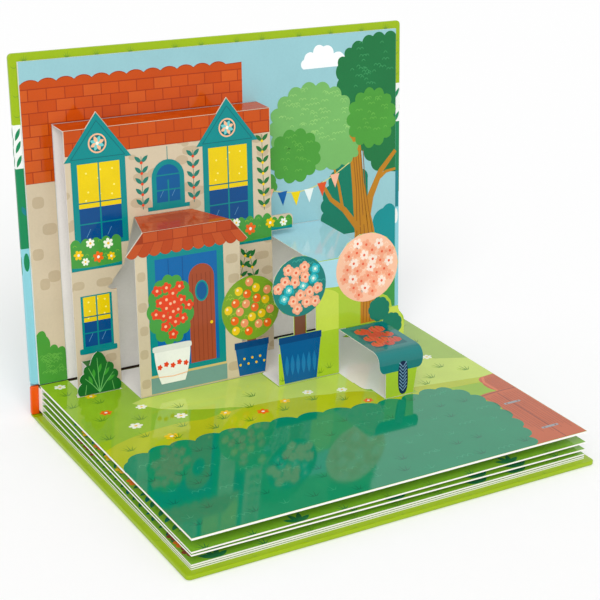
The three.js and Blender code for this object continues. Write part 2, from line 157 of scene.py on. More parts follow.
def calc(tree, operation, first, second=0.0, clamp=False):
    """One sum of two numbers or outputs."""
    return wire(tree, "ShaderNodeMath", {0: first, 1: second}, operation=operation, use_clamp=clamp)


def part_of(tree, vector, axis):
    """One of the three parts, X, Y or Z, of a vector."""
    return wire(tree, "ShaderNodeSeparateXYZ", {0: vector}, axis)


def pick(tree, test, yes, no):
    """The colour `yes` where the test is 1, and `no` where it is 0."""
    return wire(tree, "ShaderNodeMix", {"Factor": test, 6: no, 7: yes}, 2, data_type="RGBA")


def fresh_material(name, shine):
    """An empty node tree with its surface shader, its output and the piece's own coordinates."""
    material = bpy.data.materials.new(name)
    material.use_nodes = True
    tree = material.node_tree
    tree.nodes.clear()
    output = tree.nodes.new("ShaderNodeOutputMaterial")
    shader = tree.nodes.new("ShaderNodeBsdfPrincipled")
    shader.inputs["Specular IOR Level"].default_value = shine
    tree.links.new(shader.outputs["BSDF"], output.inputs["Surface"])
    place = tree.nodes.new("ShaderNodeTexCoord")
    return material, tree, shader, place


def noise_at(tree, place, scale, detail):
    """A noise from 0 to 1 in the piece's own coordinates."""
    here = {"Vector": place.outputs["Object"], "Scale": scale, "Detail": detail}
    return wire(tree, "ShaderNodeTexNoise", here, "Fac")


def ink_variation(tree, place, colour, scale=55.0, amount=0.10):
    """Multiplies a colour by two noises about 1: a broad uneven wash, and the speckle of coated paper."""
    for size, swing in ((scale, amount), (900.0, 0.05)):
        swings = {"Value": noise_at(tree, place, size, 3.0), "To Min": 1.0 - swing, "To Max": 1.0 + swing}
        spread = wire(tree, "ShaderNodeMapRange", swings)
        colour = wire(tree, "ShaderNodeMix", {"Factor": 1.0, 6: colour, 7: spread}, 2, data_type="RGBA",
                      blend_type="MULTIPLY")
    return colour


def fine_relief(tree, place, shader, scale, strength):
    """A shallow bump from one noise: the slight orange peel of a laminated sheet."""
    relief = {"Height": noise_at(tree, place, scale, 2.0), "Strength": strength, "Distance": 0.00006}
    bump = wire(tree, "ShaderNodeBump", relief)
    tree.links.new(bump, shader.inputs["Normal"])


def wrap_paper(name, colour, bands=None, inner=None):
    """Printed case wrap: one ink with a faint wash, satin lamination and a fine grain. `bands` is a list
    of (height in mm, colour) for the turned-in side margins. `inner` is (colour, Y in mm): the colour on
    the near side of that plane, between those margins."""
    material, tree, shader, place = fresh_material(name, 0.3)
    here = place.outputs["Object"]
    aside = calc(tree, "ABSOLUTE", part_of(tree, here, "X"))
    margin = calc(tree, "GREATER_THAN", aside, PRINT_HALF * MM)
    if bands is not None:
        ramp = tree.nodes.new("ShaderNodeValToRGB")
        ramp.color_ramp.interpolation = "CONSTANT"
        ramp.color_ramp.elements[0].color = bands[0][1]
        ramp.color_ramp.elements[1].position = bands[1][0] / BAND_SPAN
        ramp.color_ramp.elements[1].color = bands[1][1]
        for start, tone in bands[2:]:
            ramp.color_ramp.elements.new(start / BAND_SPAN).color = tone
        rise = part_of(tree, here, "Z")
        height = wire(tree, "ShaderNodeMapRange", {"Value": rise, "From Max": BAND_SPAN * MM})
        tree.links.new(height, ramp.inputs["Fac"])
        colour = pick(tree, margin, ramp.outputs["Color"], colour)
    if inner is not None:
        near = calc(tree, "LESS_THAN", part_of(tree, here, "Y"), inner[1] * MM)
        colour = pick(tree, calc(tree, "SUBTRACT", near, margin, clamp=True), inner[0], colour)
    tree.links.new(ink_variation(tree, place, colour, 30.0, 0.07), shader.inputs["Base Color"])
    shader.inputs["Roughness"].default_value = 0.28
    fine_relief(tree, place, shader, 700.0, 0.12)
    return material


def ink_material(name, gloss, shine):
    """Print on laminated card: the colour is the piece's own `ink` attribute with a faint wash."""
    material, tree, shader, place = fresh_material(name, shine)
    ink = wire(tree, "ShaderNodeAttribute", {}, "Color", attribute_name="ink")
    tree.links.new(ink_variation(tree, place, ink), shader.inputs["Base Color"])
    shader.inputs["Roughness"].default_value = gloss
    fine_relief(tree, place, shader, 260.0, 0.05)
    return material


def place_piece(piece, body, replaced=None):
    """Fixes a piece to its body and takes the place of a CAD node if one is named."""
    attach(piece, body)
    if replaced is not None:
        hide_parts(replaced)


def oval(x, u, half_width, half_height, turn=0.0, count=18):
    """Points at even angles round an ellipse, turned about its centre by `turn` degrees."""
    a = np.linspace(0, 2 * math.pi, count, endpoint=False)
    t = math.radians(turn)
    along, across = half_width * np.cos(a), half_height * np.sin(a)
    return np.stack([x + along * math.cos(t) - across * math.sin(t),
                     u + along * math.sin(t) + across * math.cos(t)], -1)


def dot(x, u, radius, count=8):
    """A small round dot."""
    return oval(x, u, radius, radius, count=count)


def leaf(x, u, length, width, turn, count=9):
    """A leaf from its stalk: half-width is width/2 times sin(pi t) to the power 0.85, t from 0 to 1."""
    t = np.linspace(0, 1, count)
    half = width / 2 * np.sin(math.pi * t) ** 0.85
    along = np.concatenate([t, t[-2:0:-1]]) * length
    across = np.concatenate([half, -half[-2:0:-1]])
    a = math.radians(turn)
    return np.stack([x + along * math.cos(a) - across * math.sin(a),
                     u + along * math.sin(a) + across * math.cos(a)], -1)


def box(left, right, low, high):
    """The four corners of an upright rectangle."""
    return np.array([[left, low], [right, low], [right, high], [left, high]], float)


def tuft(x, u, size, colour, level, blades=4, lean=0.0):
    """A tuft of grass as one outline: thin blades that fan out from a short foot, the middle ones longest."""
    turns = np.radians(np.linspace(138, 42, blades) + lean)
    lengths = size * (1 - 0.3 * np.abs(np.linspace(-1, 1, blades)))
    feet = np.linspace(x - size * 0.26, x + size * 0.26, blades)
    blade = size * 0.06
    tips = np.stack([feet + lengths * np.cos(turns), u + lengths * np.sin(turns)], -1)
    ring = np.stack([np.stack([feet - blade, np.full(blades, u)], -1), tips,
                     np.stack([feet + blade, np.full(blades, u)], -1)], 1).reshape(-1, 2)
    foot = [[feet[-1], u - blade * 1.4], [feet[0], u - blade * 1.4]]
    return [(np.concatenate([ring, foot]), colour, level)]


def print_on(name, where, motifs, material, body, lift=0.02, step=0.016):
    """One layer of print. Each motif is an outline, a colour and a level, and becomes a closed thin prism
    from just under the card's face to lift + step * level above it, plus a hair that grows with its
    number, so that no two neighbours share a plane. Its faces carry the motif's colour."""
    hair = 0.0011
    points, faces, colours, base = [], [], [], 0
    for number, (outline, colour, level) in enumerate(motifs):
        x, u = outline[:, 0], outline[:, 1]
        if np.sum(x * np.roll(u, -1) - u * np.roll(x, -1)) < 0:
            x, u = x[::-1], u[::-1]
        count = len(x)
        heights = np.array([[-lift], [lift + step * level + hair * (number % 13)]])
        points.append(on_plane(where, np.stack([x, x]), np.stack([u, u]), heights).reshape(-1, 3))
        here = base + np.arange(count)
        ahead = base + (np.arange(count) + 1) % count
        sides = np.stack([here, ahead, ahead + count, here + count], -1)
        faces += [(here + count).tolist(), here[::-1].tolist(), *sides.tolist()]
        colours.append(np.tile(colour, (6 * count, 1)))
        base += 2 * count
    piece = link_mesh(name, np.concatenate(points), faces, material)
    ink = piece.data.color_attributes.new("ink", "FLOAT_COLOR", "CORNER")
    ink.data.foreach_set("color", np.concatenate(colours).astype(np.float32).ravel())
    place_piece(piece, body)
    return piece


LIME = srgb(148, 177, 2)
LIME_DARK = srgb(116, 152, 20)
LIME_SHADE = srgb(90, 140, 40)
COVER_GREEN = srgb(0, 128, 78)
COVER_BLUE = srgb(135, 200, 212)
COVER_WHITE = srgb(232, 236, 232)
COVER_TEAL = srgb(10, 125, 135)
side_bands = ((0, COVER_BLUE), (101.0, COVER_GREEN), (147.0, COVER_WHITE), (171.5, LIME))
wrap_lime = wrap_paper("wrap_lime", LIME)
wrap_sides = wrap_paper("wrap_sides", LIME, bands=side_bands)
wrap_ink = ink_material("wrap_ink", 0.28, 0.3)

standing = standing_plane(FOLD_Y)
front_board = rolled_board("front_board", standing, (-COVER_HALF, COVER_HALF, 0.3, BOARD_TOP), 2.5,
                           -2.0, -2.0 - BOARD_THICK, wrap_sides)
place_piece(front_board, "front_cover", "front_cover")

ground = level_plane(HINGE_Y, 0)
back_board = rolled_board("back_board", ground, (-COVER_HALF, COVER_HALF, COVER_FRONT, -8.0), 2.5,
                          BOARD_THICK, 0.0, wrap_lime)
place_piece(back_board, "back_cover", "back_cover")


def carried_strip(name, y, z, half, material):
    """A closed outline in Y and Z, measured from the hinge line, carried straight from X = half to -half."""
    points = on_plane(ground, np.array([[half], [-half]]), y, z)
    return link_mesh(name, points, rings_to_faces(2, len(y)), material)


# Over the hinge the wrap falls from the board's top by a cosine, and its underside is level.
t = np.linspace(0, 1, 10)
groove_y = -9.0 + 8.7 * t
groove_z = 0.75 + 1.6 * (0.5 + 0.5 * np.cos(math.pi * np.clip(t * 1.7, 0, 1))) * (1 - t)
back_groove = carried_strip("back_groove", np.concatenate([groove_y, groove_y[::-1]]),
                            np.concatenate([groove_z, np.zeros(len(t))]), COVER_HALF - 0.4, wrap_lime)
place_piece(back_groove, "back_cover")

tufts = np.random.default_rng(11)
cover_print = []
for along in np.arange(-118, 122, 21.5):
    cover_print += tuft(along + tufts.uniform(-4, 4), 187.7, 3.6, LIME_SHADE, 0, 5, tufts.uniform(-12, 12))
for along in np.arange(158, 184, 12.0):
    for x in (-127.1, 127.1):
        cover_print += tuft(x, along + tufts.uniform(-3, 3), 3.0, LIME_SHADE, 0, 2)
for along, turn in ((131, 62), (139, 114), (146, 62)):
    cover_print += [(leaf(-129.2, along - 2, 7.5, 2.2, 66), COVER_GREEN, 1),
                    (leaf(125.9, along - 3, 7.5, 2.2, turn), COVER_GREEN, 1)]
cover_print += [(box(125.7, 129.3, 72, 96), COVER_TEAL, 1), (oval(127.4, 66, 1.6, 5.0), COVER_WHITE, 1),
                (oval(-127.4, 74, 1.7, 5.4), COVER_GREEN, 1),
                (leaf(-125.9, 101, 6.0, 2.4, 110), COVER_TEAL, 1)]
inside_face = plane(standing[0] - 2.0 * standing[3], (1, 0, 0), STEEP)
print_on("cover_border_tufts", inside_face, cover_print, wrap_ink, "front_cover")

back_print = []
for along in np.arange(-112, 118, 26.0):
    back_print += tuft(along + tufts.uniform(-7, 7), -199.0, 2.6, LIME_DARK, 0, 3, tufts.uniform(-20, 20))
for along in np.arange(-186, -14, 23.0):
    for x in (-127.1, 127.1):
        back_print += tuft(x, along + tufts.uniform(-6, 6), 3.0, LIME_DARK, 0, 2)
back_inside = level_plane(HINGE_Y, BOARD_THICK)
print_on("back_border_tufts", back_inside, back_print, wrap_ink, "back_cover")

# Outside print of the case: a lime meadow with leaf sprigs over a green and a pale blue band,
# printed on the same wrap and seen from behind, with plain tufts on the underside.
PETAL_YELLOW = srgb(250, 205, 60)
BAND_HALF = 129.4


def bloom(x, u, radius, petals=5, depth=0.3, turn=0.0, squeeze=1.0):
    """A flower: radius times (1 - depth + depth |cos(petals a / 2)| to the power 0.7) round the centre,
    flattened by `squeeze`."""
    a = np.linspace(0, 2 * math.pi, 8 * petals, endpoint=False)
    swell = radius * (1 - depth + depth * np.abs(np.cos(petals * a / 2)) ** 0.7)
    around = a + math.radians(turn)
    return np.stack([x + swell * np.cos(around), u + squeeze * swell * np.sin(around)], -1)


def stroke(path, width, end_width=None):
    """A line of ink: both sides of a path, each half a width out along the path's own normal."""
    path = np.asarray(path, float)
    step = np.gradient(path, axis=0)
    normal = np.stack([-step[:, 1], step[:, 0]], -1)
    normal /= np.linalg.norm(normal, axis=1)[:, None]
    half = np.linspace(width, width if end_width is None else end_width, len(path))[:, None] / 2
    return np.concatenate([path + normal * half, (path - normal * half)[::-1]])


def lobed(corners, bulges, lobe=None, count=7):
    """A closed outline, anticlockwise, whose sides swell outwards by bulge times sin(pi t) to the power
    0.7; a bulge of 0 keeps a straight side. With `lobe`, each swollen side is first divided into lobes
    of about that width."""
    start = np.asarray(corners, float)
    side = np.roll(start, -1, axis=0) - start
    swells = np.broadcast_to(np.asarray(bulges, float), (len(start),))
    if lobe is not None:
        lengths = np.linalg.norm(side, axis=1)
        parts = np.where(swells > 0, np.maximum(1, np.round(lengths / lobe)), 1).astype(int)
        along = np.concatenate([np.arange(part) / part for part in parts])
        start = np.repeat(start, parts, axis=0) + np.repeat(side, parts, axis=0) * along[:, None]
        swells = np.repeat(swells, parts)
        side = np.roll(start, -1, axis=0) - start
    outward = np.stack([side[:, 1], -side[:, 0]], -1) / np.linalg.norm(side, axis=1)[:, None]
    t = np.linspace(0, 1, count, endpoint=False)[None, :, None]
    swell = swells[:, None, None]
    points = start[:, None] + side[:, None] * t + outward[:, None] * swell * np.sin(math.pi * t) ** 0.7
    keep = (swell[:, :, 0] > 0) | (t[:, :, 0] == 0)
    return points[np.broadcast_to(keep, points.shape[:2])]


crests = np.arange(BAND_HALF, -129.5, -258.8 / 14)
crest_heights = 151 + 5 * np.sin(np.arange(len(crests)) * 1.7) * (np.abs(crests) < 128)
outside_print = [
    (lobed([(-BAND_HALF, 1.6), *zip(crests, crest_heights)], [0, 0] + [3.6] * (len(crests) - 2) + [0]),
     COVER_WHITE, 0),
    (lobed([(-BAND_HALF, 1.6), (BAND_HALF, 1.6), (BAND_HALF, 127.4), (86, 134), (44, 124), (0, 133),
            (-48, 122),
            (-90, 132), (-BAND_HALF, 127.4)], [0, 0] + [2.5] * 6 + [0], 17.0), COVER_GREEN, 1),
    (lobed([(-BAND_HALF, 1.6), (BAND_HALF, 1.6), (BAND_HALF, 81.2), (80, 72), (30, 84), (-30, 73), (-84, 84),
            (-BAND_HALF, 81.2)], [0, 0] + [3] * 5 + [0], 24.0), COVER_BLUE, 2),
]
for number, along in enumerate(np.linspace(-112, 112, 9)):
    foot, size = 96 + 7 * (number % 2), 10.5
    stem = [(along, foot), (along + 1, foot + size), (along, foot + 2 * size)]
    outside_print.append((stroke(stem, 1.2, 0.5), LIME, 3))
    for k in range(4):
        rise = foot + size * 0.2 + k * size * 0.42
        outside_print += [(leaf(along + 0.7, rise, size * 0.8, size * 0.3, 38), LIME, 4),
                          (leaf(along + 0.3, rise, size * 0.8, size * 0.3, 142), LIME, 5)]
for number, along in enumerate(np.linspace(-116, 116, 11)):
    height = 140.5 + 3 * (number % 2)
    outside_print += [(bloom(along, height, 5.6, 6, 0.4), PETAL_YELLOW, 3),
                      (dot(along, height, 1.7, 10), COVER_GREEN, 4)]
    outside_print += tuft(along + tufts.uniform(-5, 5), 172 + tufts.uniform(-8, 4), 6.0, LIME_SHADE, 3, 5)
wave = np.linspace(0, 2 * math.pi, 12)
for row in range(3):
    for along in np.arange(-114 + 9 * (row % 2), 118, 24.0):
        path = np.stack([along + 2.2 * wave, 20 + 19 * row + 1.3 * np.sin(wave)], -1)
        outside_print.append((stroke(path, 0.8), COVER_TEAL, 3))
outside = plane(standing[0] - (2.0 + BOARD_THICK) * standing[3], (-1, 0, 0), STEEP)
print_on("outside_print", outside, outside_print, wrap_ink, "front_cover")

beneath_print = []
for along in np.arange(-112, 120, 28.0):
    for down in np.arange(24, 190, 34.0):
        beneath_print += tuft(along + tufts.uniform(-8, 8), down + tufts.uniform(-8, 8), 7.0, LIME_DARK, 0, 5)
beneath = plane((0, HINGE_Y, 0), (1, 0, 0), (0, -1, 0))
print_on("beneath_print", beneath, beneath_print, wrap_ink, "back_cover", lift=0.01, step=0.0)

# Wrapped edge print: where the outside picture turns over the left and right board edges,
# leaves on white, then deep green, then pale blue show on the edge of the front board.
EDGE_HALF = 0.7
for side, name in ((-1, "left"), (1, "right")):
    corner = standing[0] + np.array([side * COVER_HALF, 0, 0]) - 3.25 * standing[3]
    edge = plane(corner, -side * standing[3], STEEP)
    edge_print = [(oval(0, 72, EDGE_HALF * 0.9, 5.5), COVER_GREEN, 0),
                  (oval(0, 90, EDGE_HALF * 0.7, 4.0), COVER_TEAL, 0)]
    for k in range(4):
        foot, turn = 129 + 5.4 * k, 76 + 12 * (k % 2)
        edge_print.append((leaf(-EDGE_HALF * 0.8, foot, 6.4, 1.1, turn, 6), COVER_GREEN, 1))
    print_on(f"edge_print_{name}", edge, edge_print, wrap_ink, "front_cover")

# Spine: a narrow greyboard strip under the same wrap, printed orange. The wrap runs on
# over both joints, so a folded strip of it bridges to each cover.
SPINE_ORANGE = srgb(226, 84, 6)
SPINE_SHADOW = srgb(74, 48, 42)
spine_face = plane((0, HINGE_Y, 0), (-1, 0, 0), (0, 0, 1))
wrap_orange = wrap_paper("wrap_orange", SPINE_ORANGE, inner=(SPINE_SHADOW, HINGE_Y - 0.55))
spine_cover = rolled_board("spine_cover", spine_face, (-COVER_HALF, COVER_HALF, 1.0, 19.0), 1.2,
                           0.0, -BOARD_THICK, wrap_orange)
place_piece(spine_cover, "page_block", "spine_board")


def joint_strip(name, path, thickness, material):
    """Bent wrap across a joint: a path in Y and Z, given half its thickness to both sides of its normal."""
    path = np.asarray(path, float)
    t = np.linspace(0, len(path) - 1, 25)
    line = [np.interp(t, np.arange(len(path)), path[:, axis]) for axis in (0, 1)]
    ring = stroke(np.stack(line, -1), thickness)
    return carried_strip(name, ring[:, 0], ring[:, 1], COVER_HALF - 0.5, material)


front_joint = joint_strip("front_joint", [(-0.15, 18.0), (-0.12, 19.2), (-0.1, 20.4), (0.1, 21.4)], 0.35,
                          wrap_paper("wrap_blue", COVER_BLUE))
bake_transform(front_joint)
back_joint = joint_strip("back_joint", [(-0.8, 0.3), (-0.35, 0.35), (-0.2, 0.8), (-0.15, 2.0)], 0.3,
                         wrap_lime)
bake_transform(back_joint)

# Leaves and glued sheets: coated white card, printed and gloss laminated on one side,
# with a bare white core on every cut edge and a plain white reverse.
CARD_WHITE = srgb(240, 237, 233)
LEAF_GREEN = srgb(118, 172, 36)


def sheet_card(name, front, level, gloss=0.06, shine=0.5, lying=False, upper=None, blots=None, wash=0.08):
    """Card printed on its outward side, told by the face's own normal: `front` on faces that stand,
    `level` on faces that lie, and only those on a sheet that is `lying`; every other face is white.
    `upper` is (colour, height in mm): the colour above that height. `blots` is (colour, scale, stretch,
    size): rounded blots of ink round scattered points."""
    material, tree, shader, place = fresh_material(name, shine)
    here, normal = place.outputs["Object"], place.outputs["Normal"]
    outward = (0.0, 0.0, 1.0) if lying else (0.0, -0.7071, 0.7071)
    facing = wire(tree, "ShaderNodeVectorMath", {0: normal, 1: outward}, "Value", operation="DOT_PRODUCT")
    printed = calc(tree, "GREATER_THAN", facing, 0.6)
    colour = level if lying else front
    if blots is not None:
        blot_ink, scale, stretch, size = blots
        drawn = wire(tree, "ShaderNodeMapping", {"Vector": here, "Scale": stretch})
        away = wire(tree, "ShaderNodeTexVoronoi", {"Vector": drawn, "Scale": scale}, "Distance", feature="F1")
        colour = pick(tree, calc(tree, "LESS_THAN", away, size), blot_ink, colour)
    if not lying:
        colour = pick(tree, calc(tree, "GREATER_THAN", part_of(tree, normal, "Z"), 0.95), level, colour)
    if upper is not None:
        above = calc(tree, "GREATER_THAN", part_of(tree, here, "Z"), upper[1] * MM)
        colour = pick(tree, above, upper[0], colour)
    inked = ink_variation(tree, place, colour, 55.0, wash)
    tree.links.new(pick(tree, printed, inked, CARD_WHITE), shader.inputs["Base Color"])
    finish = wire(tree, "ShaderNodeMapRange", {"Value": printed, "To Min": 0.5, "To Max": gloss})
    tree.links.new(finish, shader.inputs["Roughness"])
    fine_relief(tree, place, shader, 260.0, 0.05)
    return material


def dress(name, material):
    """Gives one CAD node its finish."""
    if len(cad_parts[name].material_slots) == 0:
        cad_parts[name].data.materials.append(material)
    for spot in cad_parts[name].material_slots:
        spot.material = material


dress("rear_pastedown", sheet_card("pastedown_card", LEAF_GREEN, LEAF_GREEN, lying=True))
dress("page_block", sheet_card("leaf_block_card", LEAF_GREEN, LEAF_GREEN, lying=True,
                               upper=(CARD_WHITE, FLOOR_TOP - 1.0)))
dress("front_base_page", sheet_card("base_page_card", CARD_WHITE, CARD_WHITE, gloss=0.35))

# Closed leaves: each page carries its own print, which shows where the leaves fan apart:
# dark green leaf sprigs along the left and front margins, with flowers or brown bark.
LEAF_DARK = srgb(22, 112, 62)
LEAF_TEAL = srgb(0, 112, 96)
LEAF_YELLOW = srgb(238, 186, 24)
LEAF_ORANGE = srgb(232, 116, 30)
LEAF_BARK = srgb(142, 62, 36)
PAGE_HALF = 125.5
PAGE_FRONT = -195.5
LEAF_REAR = 2.8
floor_ink = ink_material("floor_ink", 0.06, 0.5)


def leaf_print(name, seed, gutter, left, right, accents):
    """The margins of one closed page. Its motifs are drawn flat, then each point rises to the page: from
    the gutter height to the corner height by smoothstep of the reach, the corner height going evenly
    from left to right."""
    rng = np.random.default_rng(seed)
    motifs = []
    for number, along in enumerate(np.arange(-188, -50, 7.5)):
        for reach, turn in ((0.0, 35), (4.0, -25)):
            u = along + rng.uniform(-1, 1)
            outline = leaf(-124.6 + reach, u, 7.5, 2.6, turn + rng.uniform(-20, 20), 7)
            motifs.append((outline, LEAF_DARK if number % 3 else LEAF_TEAL, 0))
    for across in np.arange(-112, 118, 27.0) + rng.uniform(-7, 7):
        kind = rng.integers(0, 3)
        if kind == 0:
            motifs += [(leaf(across, -195.0, 8.5, 3.0, turn, 7), LEAF_DARK, 1)
                       for turn in (25, 65, 110, 150)]
        else:
            motifs += tuft(across, -194.6, 5.5, LIME_SHADE if kind == 1 else LEAF_DARK, 1, 4)
    for along, tone in accents:
        heart = LEAF_ORANGE if tone is LEAF_YELLOW else LEAF_YELLOW
        motifs += [(bloom(-119.5, along, 5.4, 7, 0.35, rng.uniform(0, 50)), tone, 2),
                   (dot(-119.5, along, 1.5, 10), heart, 3)]
    piece = print_on(name, ground, motifs, floor_ink, "page_block", 0.02, 0.010)
    points = np.empty(3 * len(piece.data.vertices), np.float32)
    piece.data.vertices.foreach_get("co", points)
    points = points.reshape(-1, 3)
    reach = np.clip((points[:, 1] / MM - HINGE_Y + LEAF_REAR) / (PAGE_FRONT + LEAF_REAR), 0, 1)
    reach = reach * reach * (3 - 2 * reach)
    corner = left + (right - left) * (points[:, 0] / MM + PAGE_HALF) / (2 * PAGE_HALF)
    points[:, 2] += (gutter + (corner - gutter) * reach) * MM
    piece.data.vertices.foreach_set("co", points.ravel())
    piece.data.update()


flowers = ((-64, LEAF_YELLOW), (-80, LEAF_ORANGE), (-94, LEAF_YELLOW), (-108, LEAF_YELLOW),
           (-122, LEAF_ORANGE))
bark = ((-58, LEAF_BARK), (-66, LEAF_BARK), (-74, LEAF_BARK), (-168, LEAF_BARK), (-176, LEAF_ORANGE),
        (-184, LEAF_BARK))
leaf_print("leaf_print_1", 61, 16.4, 12.7, 13.3, flowers)
leaf_print("leaf_print_2", 62, 12.6, 11.1, 8.8, ())
leaf_print("leaf_print_3", 63, 8.6, 5.6, 5.7, bark)
lining = np.random.default_rng(64)
lining_print = []
for x in np.arange(-114, 118, 19.0):
    for u in np.arange(-184, -16, 21.0):
        lining_print += tuft(x + lining.uniform(-6, 6), u + lining.uniform(-6, 6), 6.0, LEAF_DARK, 0, 5)
print_on("lining_print", level_plane(HINGE_Y, 3.1), lining_print, floor_ink, "back_cover")

# Floor of the open spread: the same laminated card, printed as a lime meadow with a dark
# hedge along the front and a corner of brown planks, die-cut where the pop-ups fold up.
GRASS = srgb(142, 184, 30)
GRASS_LIGHT = srgb(192, 214, 92)
GRASS_DULL = srgb(154, 186, 72)
GRASS_YELLOW = srgb(176, 190, 24)
GRASS_MARK = srgb(96, 142, 30)
HEDGE = srgb(0, 136, 96)
HEDGE_MARK = srgb(0, 106, 78)
HEDGE_LIGHT = srgb(44, 156, 116)
PLANK = srgb(192, 92, 48)
PLANK_LINE = srgb(140, 60, 36)
PLANK_EDGE = srgb(216, 114, 70)
IRON = srgb(150, 156, 160)
DAISY_WHITE = srgb(240, 242, 226)
DAISY_YELLOW = srgb(240, 196, 12)
DAISY_ORANGE = srgb(236, 102, 20)
dress("floor_sheet", sheet_card("meadow_card", GRASS, GRASS, lying=True, wash=0.10))


def soft_box(left, right, low, high, power=4.0, count=20):
    """A rounded rectangle as a superellipse: |cos a| and |sin a| to the power 2 / power."""
    a = np.linspace(0, 2 * math.pi, count, endpoint=False)
    c, s = np.cos(a), np.sin(a)
    x = np.sign(c) * np.abs(c) ** (2 / power)
    u = np.sign(s) * np.abs(s) ** (2 / power)
    return np.stack([(left + right + x * (right - left)) / 2, (low + high + u * (high - low)) / 2], -1)


def daisy(x, u, radius, petal, heart, level, squeeze=0.8, turn=0.0):
    """A small meadow flower: six rounded petals and a raised heart."""
    return [(bloom(x, u, radius, 6, 0.45, turn, squeeze), petal, level),
            (oval(x, u, radius * 0.26, radius * 0.26 * squeeze, count=8), heart, level + 1)]


hedge_top = [
    (-125.3, -123.5), (-120, -112), (-106, -107.5), (-92, -105), (-77, -106.5), (-61, -104.5), (-45, -107),
    (-29, -105.5), (-13, -108), (4, -108.5), (21, -111.5), (38, -113.2), (54, -114.8), (67, -114),
    (80, -112.6), (89, -118), (94.5, -128), (97.5, -139), (98.5, -151), (97.5, -163), (95.5, -175),
    (91, -186), (88, -195.2), (-125.3, -195.2),
]
lawn_left = [(-88, -50), (-78, -62), (-40, -79), (20, -90), (45.6, -99.6), (45.6, -98.4), (42.6, -95.4),
             (41.0, -91), (41.0, -68.3), (-1.8, -68.3), (-1.8, -47), (-80.2, -47)]
lawn_right = [(68.4, -104), (125.4, -112), (125.4, -66), (104, -62), (84.4, -68.3), (73.0, -68.3),
              (73.0, -91),
              (71.4, -95.4), (68.4, -98.4)]
path_band = [(-125.4, -124), (80, -114), (125.4, -118), (125.4, -112), (68.4, -104), (68.4, -110.8),
             (45.6, -110.8), (45.6, -99.2), (20, -90), (-60, -86), (-125.4, -96)]
boards = [(125.3, -195.2), (125.3, -110), (116, -111), (111, -118), (113, -131), (97.5, -132), (100.5, -150),
          (98, -172), (89.5, -195.2)]
meadow = [
    (lobed(lawn_left, [0, 2, 5, 2] + [0] * 8), GRASS_LIGHT, 0),
    (lobed(lawn_right, [0, 0, 3, 3] + [0] * 5), GRASS_LIGHT, 0),
    (lobed(path_band, [0] * 7 + [2, 5, 6, 0]), GRASS_YELLOW, 1),
    (lobed([(106, -76), (125.4, -84), (125.4, -8), (98, -10)], [0, 0, 5, 7]), GRASS_DULL, 1),
    (lobed(hedge_top[::-1], [0] + [3.4] * 21 + [2.2, 0]), HEDGE, 3),
    (lobed(boards, [0, 0, 2, 2, 1, 0, 2, 2, 0]), PLANK, 2),
    (stroke([(116, -111.6), (112.2, -118), (112.6, -130.6)], 1.6), PLANK_EDGE, 3),
    (stroke([(125.0, -131.4), (113, -131.4), (99, -132.6)], 0.8), PLANK_LINE, 3),
]
planks = np.random.default_rng(5)
for k in range(9):
    across = 114.5 + 1.25 * k
    path = [(across, -113 - 2 * planks.random()), (across + 0.3, -122), (across, -130)]
    meadow.append((stroke(path, 0.22), PLANK_LINE, 3))
for k in range(13):
    across = 100.8 + 1.9 * k
    reach = planks.uniform(-190, -178)
    path = [(across, -134 - 3 * planks.random()), (across + planks.uniform(-0.6, 0.6), -158), (across, reach)]
    meadow.append((stroke(path, 0.24), PLANK_LINE, 3))
meadow.append((stroke([(110.5, -133), (110.9, -165), (110.5, -194.8)], 0.7), PLANK_LINE, 3))
for along in (-147.0, -181.0):
    meadow += [(soft_box(104.6, 116.4, along - 1.0, along + 1.0, 6), IRON, 4),
               (dot(106.6, along, 0.6), PLANK_LINE, 5), (dot(114.4, along, 0.6), PLANK_LINE, 5)]

growth = np.random.default_rng(23)
tuft_places = (
    (-117, -24), (-104, -41), (-112, -62), (-92, -70), (-66, -66), (-99, -90), (-75, -88), (-50, -90),
    (-30, -84), (-14, -96), (8, -92), (24, -100), (-38, -99), (-84, -99), (-118, -84), (-113, -101),
    (88, -98), (102, -88), (96, -34), (110, -50), (116, -26), (104, -12), (80, -104), (-22, -72),
    (-60, -98), (-120, -40), (114, -98),
)
for x, u in tuft_places:
    meadow += tuft(x, u, 6.4, GRASS_MARK, 3, 5, growth.uniform(-14, 14))
daisies = (
    (-116, -12, 3.2, DAISY_WHITE), (-105, -31, 3.0, DAISY_YELLOW), (-85, -56, 3.0, DAISY_WHITE),
    (-98, -76, 3.6, DAISY_WHITE), (-106, -54, 3.2, DAISY_ORANGE), (-70, -76, 3.4, DAISY_WHITE),
    (-46, -84, 3.0, DAISY_YELLOW), (-86, -96, 3.8, DAISY_YELLOW), (-26, -92, 3.4, DAISY_ORANGE),
    (-8, -86, 3.0, DAISY_YELLOW), (10, -82, 3.0, DAISY_WHITE), (30, -88, 3.0, DAISY_WHITE),
    (36, -107, 2.8, DAISY_ORANGE), (99, -52, 3.2, DAISY_ORANGE), (103, -72, 3.2, DAISY_WHITE),
    (112, -16, 2.8, DAISY_YELLOW),
)
for x, u, radius, petal in daisies:
    heart = DAISY_YELLOW if petal is DAISY_WHITE else DAISY_WHITE
    meadow += daisy(x, u, 1.15 * radius, petal, heart, 3, turn=growth.uniform(0, 60))
arc = np.linspace(0, math.pi, 6)
